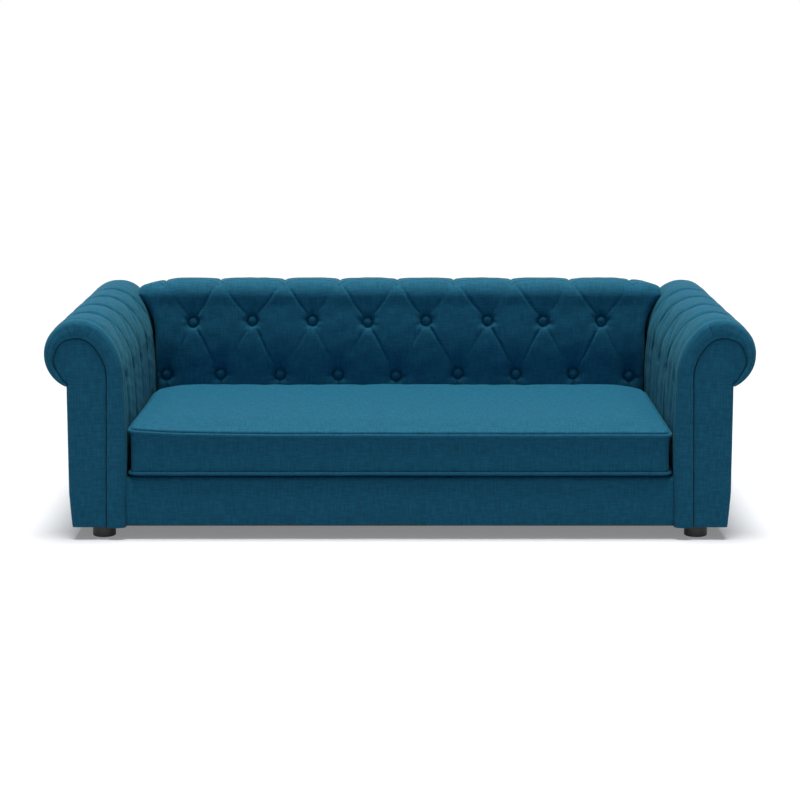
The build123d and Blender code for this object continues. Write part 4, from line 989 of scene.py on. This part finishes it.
def make_cushion_body():
    """The closed cushion before it is filled: two panels and the band between their seams."""
    rows, halves = cushion_rows()
    steps = np.concatenate([[0, 0.0022, 0.0055, 0.0105, 0.017], np.linspace(0.025, cushion_half, 38)])
    across = np.concatenate([-1 + steps / cushion_half, 1 - steps[-2::-1] / cushion_half])
    flat = grid(halves[:, None] * across, rows[:, None])
    count_y, count_x = flat.shape[:2]
    size = count_x * count_y
    index = np.arange(size).reshape(count_y, count_x)
    loop = np.concatenate([index[0], index[1:, -1], index[-1, -2::-1], index[-2:0:-1, 0]])
    away = nearest(flat, evenly(flat.reshape(-1, 2)[np.append(loop, loop[0])], 0.003)[1]).reshape(-1)
    away[loop] = 0
    flat = flat.reshape(-1, 2)
    rim = flat[loop]
    crown = np.interp(away, crown_reaches, crown_rises)
    top_z = high_seam_z + 0.0050 * unit(away / 0.0009) + 0.72 * crown
    bottom_z = low_seam_z - 0.0046 * unit(away / 0.016) ** 0.8
    top, bottom = (np.concatenate([flat, z[:, None]], 1) for z in (top_z, bottom_z))
    way = round_ways(rim)
    inward = grid(-way[:, 1], way[:, 0])
    by_zip = unit((tape_high.x + 0.014 - np.abs(rim[:, :1])) / 0.01)
    by_zip = by_zip * (rim[:, 1:] > cushion_rear_y - 0.004)
    bands = []
    for level in band_levels:
        draw = 0.0004 + 0.0006 * min(1, 4 * min(level, 1 - level))
        height = low_seam_z + seam_height * level
        if tape_low.z - 0.002 < height < tape_high.z + 0.002:
            draw = draw + 0.0026 * by_zip
        bands.append(np.concatenate([rim + inward * draw, np.full((len(rim), 1), height)], 1))
    for panel in (top, bottom):
        panel[loop, :2] += inward * 0.0009
    faces, uv = [], []
    for row in range(count_y - 1):
        for column in range(count_x - 1):
            a, b = index[row, column], index[row, column + 1]
            c, d = index[row + 1, column + 1], index[row + 1, column]
            faces += [(a, b, c, d), (size + a, size + d, size + c, size + b)]
            uv += [*flat[[a, b, c, d]], *(flat[[a, d, c, b]] + 2)]
    around = np.arange(len(loop))
    rings = [2 * size + number * len(loop) + around for number in range(len(band_levels))]
    rings = [size + loop, *rings, loop]
    girth = lengths_along(np.concatenate([rim, rim[:1]]))
    heights = np.array((0, *band_levels, 1)) * seam_height
    for lower, upper, z_low, z_high in zip(rings, rings[1:], heights, heights[1:]):
        for step, after in zip(around, np.roll(around, -1)):
            faces.append((lower[step], lower[after], upper[after], upper[step]))
            left, right = girth[step], girth[step + 1]
            uv += [(left, z_low), (right, z_low), (right, z_high), (left, z_high)]
    points = np.concatenate([top, bottom] + bands).tolist()
    faces = np.array(faces).tolist()
    return mesh_object("seat_cushion", points, faces, np.array(uv, float)), loop, size, away


def place_of(mesh):
    """The places of a mesh's points."""
    places = np.zeros(len(mesh.vertices) * 3)
    mesh.vertices.foreach_get("co", places)
    return places.reshape(-1, 3)


def fill_cushion(cushion, holds):
    """Fill the cushion by a cloth simulation, its held points staying put."""
    group = cushion.vertex_groups.new(name="held")
    for number, hold in enumerate(holds):
        group.add([number], float(hold), "REPLACE")
    layer = cushion.modifiers.new("Fill", "CLOTH")
    cloth = layer.settings
    for key, value in cloth_values.items():
        setattr(cloth, key, value)
    cloth.effector_weights.gravity = 0.0
    layer.collision_settings.use_collision = False
    scene = bpy.context.scene
    scene.frame_start, scene.frame_end = 1, 20
    for step in range(1, 21):
        scene.frame_set(step)
    filled = cushion.evaluated_get(bpy.context.evaluated_depsgraph_get())
    settled = place_of(filled.data)
    cushion.modifiers.remove(layer)
    scene.frame_set(1)
    return settled


def tube(name, path, radius, around=12):
    """A round closed cord along a loop of points."""
    along = round_ways(path)
    side = normed(np.cross(along, (0.0, 0.0, 1.0)))
    lift = np.cross(side, along)
    turns = np.linspace(0, 2 * math.pi, around + 1)[:-1]
    ring = side[:, None, :] * np.cos(turns)[None, :, None] + lift[:, None, :] * np.sin(turns)[None, :, None]
    points = path[:, None, :] + radius * ring
    length = lengths_along(np.concatenate([path, path[:1]]))
    u, v = length[:, None], (np.linspace(0, 2 * math.pi, around + 1) * radius)[None, :]
    bias = math.sqrt(0.5)
    uv = grid(bias * (u + v), bias * (u - v))
    return surface(name, points, uv, flip=True, round_rows=True, round_columns=True)


def finer_loop(path, times):
    """A closed loop with more points, rounded by cubic steps."""
    before, after, beyond = np.roll(path, 1, 0), np.roll(path, -1, 0), np.roll(path, -2, 0)
    rows = []
    for step in range(times):
        t = step / times
        rows.append(
            0.5 * (2 * path + (after - before) * t
                   + (2 * before - 5 * path + 4 * after - beyond) * t ** 2
                   + (3 * path - before - 3 * after + beyond) * t ** 3)
        )
    return np.stack(rows, 1).reshape(-1, 3)


def piping_cord(seam):
    """The cord sewn along the outside of a seam."""
    path = finer_loop(seam, 3)
    way = round_ways(path)
    path = path + normed(grid(way[:, 1], -way[:, 0], 0)) * 0.0019
    girth = lengths_along(path)
    path[:, 2] += 0.0001 * ripple(girth, girth * 0, 0.05, 53)
    return tube("piping", path, seam_radius)


def make_cushion():
    """The seat cushion with its piping."""
    cushion, loop, size, away = make_cushion_body()
    mesh = cushion.data
    rest = place_of(mesh)
    seams = np.concatenate([loop, loop + size])
    holds = np.ones(len(rest))
    holds[:size] = unit(1 - away / 0.02) * 0.85
    holds[2 * size :] = np.where(rest[2 * size :, 1] > cushion_rear_y - 0.03, 1, 0.55)
    holds[seams] = 1
    places = rest.copy()
    moved = fill_cushion(cushion, holds) - rest
    moved[:size, :2] *= unit(away / 0.05)[:, None]
    moved[:size, 2] *= unit(away / 0.03)
    moved[2 * size :] *= 0.35
    moved[seams] = 0
    far = np.linalg.norm(moved, axis=1, keepdims=True)
    places = rest + moved * np.minimum(1, 0.006 / np.maximum(far, 1e-9))
    x, y, top = places[:size].T
    wrinkle = ripple(x, y, 0.034, 51) * np.exp(-away / 0.03)
    top = top + 0.0006 * wrinkle * unit((away - 0.004) / 0.01)
    least = core_seam_z + np.interp(away, crown_reaches, crown_rises) + 0.0008
    places[:size, 2] = np.where(away > 0.002, np.maximum(top, least), top)
    lift = 0.0062 * np.exp(-np.maximum(places[:, 0] + cushion_half, 0) / 0.07)
    lift = lift * unit((places[:, 2] - low_seam_z) / seam_height)
    places[:, 2] += lift * unit(-places[:, 1] / 0.2)
    seam_wave = 0.0003 * ripple(places[:, 0], places[:, 1], 0.16, 52)
    places[loop, 2] += seam_wave[loop]
    places[loop + size, 2] += 0.5 * seam_wave[loop + size]
    places[:, 2] = np.maximum(places[:, 2], cushion_low_z)
    mesh.vertices.foreach_set("co", places.ravel())
    mesh.update()
    smooth = cushion.modifiers.new("Smooth", "SUBSURF")
    smooth.levels = smooth.render_levels = 2
    dress(cushion, "upholstery", "cushion", "cushion_cover")
    cords = [piping_cord(places[ring]) for ring in (loop, loop + size)]
    dress(joined_piece("cushion_piping_cord", cords), "piping_cloth", "cushion", "cushion_piping")


# Zip

def boxes_mesh(name, centres, halves):
    """Many small boxes as one piece."""
    signs = np.array([(x, y, z) for z in (-1, 1) for y in (-1, 1) for x in (-1, 1)], float)
    corners = centres[:, None, :] + signs[None] * halves[:, None, :]
    quads = np.array(((0, 2, 3, 1), (4, 5, 7, 6), (0, 1, 5, 4), (2, 6, 7, 3), (0, 4, 6, 2), (1, 3, 7, 5)))
    faces = (np.arange(len(centres))[:, None, None] * 8 + quads[None]).reshape(-1, 4)
    return mesh_object(name, corners.reshape(-1, 3).tolist(), faces.tolist())


def make_zip():
    """The zip in the cushion's rear band: two woven tapes and their interlocked teeth."""
    middle = (tape_low.z + tape_high.z) / 2
    face_y = tape_low.y + 0.0006
    x = np.linspace(tape_low.x, tape_high.x, 300)[None, :]
    v = np.linspace(-1, 1, 41)[:, None] * (tape_high.z - tape_low.z) / 2
    bead = np.exp(-((np.abs(v) - 0.0032) / 0.0007) ** 2)
    y = face_y + 0.00014 * bead + 0.00006 * ripple(x, v, 0.03, 61)
    points = grid(x, y, middle + v)
    tape = surface("zip_tape_woven", points, grid(x, v), flip=True)
    thicken(tape, 0.0006)
    dress(tape, "zip_tape", "cushion", "zip_tape")
    pitch = 0.0013
    number = np.arange(int((tape_high.x - tape_low.x) / pitch))
    places = tape_low.x + pitch * (number + 0.5)
    heights = middle + np.where(number % 2 == 0, 0.0006, -0.0006)
    centres = grid(places, face_y + 0.0007, heights)
    teeth = boxes_mesh("zip_teeth", centres, np.tile((0.00042, 0.0006, 0.0017), (len(places), 1)))
    edge = teeth.modifiers.new("Edge", "BEVEL")
    edge.width = 0.00015
    edge.segments = 1
    dress(teeth, "zip_metal", "cushion")


# Cloths under and inside

def sheet_grid(low, high, columns, rows):
    """Places across and deep over a flat piece, with the distance from its nearest edge."""
    x = np.linspace(low.x, high.x, columns)[None, :]
    y = np.linspace(low.y, high.y, rows)[:, None]
    return x, y, np.minimum(np.minimum(x - low.x, high.x - x), np.minimum(y - low.y, high.y - y))


def make_deck_cloth():
    """The cloth stretched over the deck, under the cushion."""
    x, y, edge = sheet_grid(deck_low, deck_high, 160, 80)
    z = deck_z + 0.0001 - 0.0004 * valley(edge, 0.01) + 0.0002 * ripple(x, y, 0.09, 71)
    points = grid(x, y, np.minimum(z, deck_z + 0.0002))
    cloth = surface("deck_cloth_sheet", points, grid(x, y))
    thicken(cloth, 0.0008)
    dress(cloth, "deck_cloth", "root", "deck_cover")


def make_dust_cloth():
    """The thin cloth stapled under the frame, cut round the feet."""
    x, y, edge = sheet_grid(dust_low, dust_high, 240, 120)
    sag = 0.0012 * unit(edge / 0.08) + 0.0004 * ripple(x, y, 0.08, 75) * unit(edge / 0.02)
    points = grid(x, y, dust_high.z - 0.0002 - sag)
    cloth = surface("dust_cover_cloth", points, grid(x, y), flip=True)
    feet = [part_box(f"foot_{end}_{side}") for end in ("front", "rear") for side in ("left", "right")]
    middles = np.array([((low.x + high.x) / 2, (low.y + high.y) / 2) for low, high in feet])
    centres = np.array([face.center[:2] for face in cloth.data.polygons])
    gaps = np.linalg.norm(centres[:, None] - middles[None], axis=2).min(1)
    trim_faces(cloth, np.flatnonzero(gaps < foot_cut_radius).tolist())
    thicken(cloth, 0.0005)
    dress(cloth, "dust_cloth", "root", "dust_cover")


def trim_faces(piece, numbers):
    """Take faces out of a piece."""
    shape = bmesh.new()
    shape.from_mesh(piece.data)
    shape.faces.ensure_lookup_table()
    bmesh.ops.delete(shape, geom=[shape.faces[number] for number in numbers], context="FACES")
    shape.to_mesh(piece.data)
    shape.free()


def make_staples():
    """Staples that hold the cloth under the frame."""
    inset, gap = 0.006, 0.055
    across, deep = (0.0045, 0.0004, 0.0003), (0.0004, 0.0045, 0.0003)
    runs = []
    for x in np.arange(dust_low.x + 0.02, dust_high.x - 0.01, gap):
        runs += [((x, y), across) for y in (dust_low.y + inset, dust_high.y - inset)]
    for y in np.arange(dust_low.y + 0.03, dust_high.y - 0.02, gap):
        runs += [((x, y), deep) for x in (dust_low.x + inset, dust_high.x - inset)]
    centres = np.array([(*place, dust_high.z - 0.0012) for place, _ in runs])
    halves = np.array([half for _, half in runs])
    dress(boxes_mesh("dust_cover_staples", centres, halves), "steel", "root")


for side, sign in sides:
    make_arm_cover(side, sign)
    make_border(side, sign)
    make_facing(side, sign)
    make_outer_cover(side, sign)
    make_rear_facing(side, sign)
make_arm_buttons()
make_back()
make_base_pad()
make_rear_cover()
make_cushion()
make_zip()
make_deck_cloth()
make_dust_cloth()
make_staples()
dress_solids()


# Stage, light and camera

def sun(name, strength, angle, elevation, colour=(1, 1, 1)):
    """A soft lamp from far away in front, at a height in degrees."""
    lamp = bpy.data.lights.new(name, "SUN")
    lamp.energy = strength
    lamp.color = colour
    lamp.angle = math.radians(angle)
    rise = math.radians(elevation)
    towards = Vector((0, -math.cos(rise), math.sin(rise)))
    new_object(name, lamp).rotation_euler = towards.to_track_quat("Z", "Y").to_euler()


def camera_or_mirror(tree):
    """1 for rays from the camera and for what metal and glass show of the background."""
    path = add_node(tree, "ShaderNodeLightPath").outputs
    total = maths(tree, "ADD", path["Is Camera Ray"], path["Is Glossy Ray"])
    return maths(tree, "MINIMUM", maths(tree, "ADD", total, path["Is Transmission Ray"]), 1.0)


def mix_by_ray(tree, output, plain, seen):
    """One shader for the camera and for mirrors, and a plain one for all other rays."""
    values = {0: camera_or_mirror(tree), 1: plain.outputs[0], 2: seen.outputs[0]}
    mixed = add_node(tree, "ShaderNodeMixShader", values)
    add_node(tree, output, {"Surface": mixed.outputs[0]})


def make_stage():
    """A white floor that keeps the sofa's shadow, and a white world behind it."""
    size = 30.0
    corners = [(-size, -size, 0), (size, -size, 0), (size, size, 0), (-size, size, 0)]
    floor = mesh_object("floor", corners, [(0, 1, 2, 3)])
    material = bpy.data.materials.new("white floor")
    material.use_nodes = True
    tree = material.node_tree
    tree.nodes.clear()
    shown = add_node(tree, "ShaderNodeBsdfDiffuse", {"Color": (0.76, 0.78, 0.88, 1)})
    glow = add_node(tree, "ShaderNodeEmission", {"Color": (0.98, 0.98, 1, 1), "Strength": 0.22})
    both = add_node(tree, "ShaderNodeAddShader", {0: shown.outputs[0], 1: glow.outputs[0]})
    plain = add_node(tree, "ShaderNodeBsdfDiffuse", {"Color": (0.46, 0.48, 0.54, 1)})
    mix_by_ray(tree, "ShaderNodeOutputMaterial", plain, both)
    floor.data.materials.append(material)
    world = bpy.data.worlds.new("studio")
    world.use_nodes = True
    bpy.context.scene.world = world
    tree = world.node_tree
    tree.nodes.clear()
    dim = add_node(tree, "ShaderNodeBackground", {"Color": (0.9, 0.96, 1, 1), "Strength": 0.05})
    white = add_node(tree, "ShaderNodeBackground", {"Color": (1, 1, 1, 1), "Strength": 1.0})
    mix_by_ray(tree, "ShaderNodeOutputWorld", dim, white)


def make_camera():
    """The photograph's view: straight from the front, a little above the arms."""
    lens = bpy.data.cameras.new("camera")
    lens.sensor_width = 36.0
    lens.lens = 103.0
    lens.clip_start = 0.1
    lens.clip_end = 100.0
    camera = new_object("camera", lens)
    camera.location = (0, -3.44, 0.745)
    camera.rotation_euler = (math.radians(90 - 9.68), 0, 0)
    bpy.context.scene.camera = camera


make_stage()
sun("top lamp", 3.4, 22, 88, (1.0, 0.98, 0.87))
sun("front lamp", 0.14, 40, 30)
make_camera()
bpy.context.scene.view_settings.view_transform = "Standard"
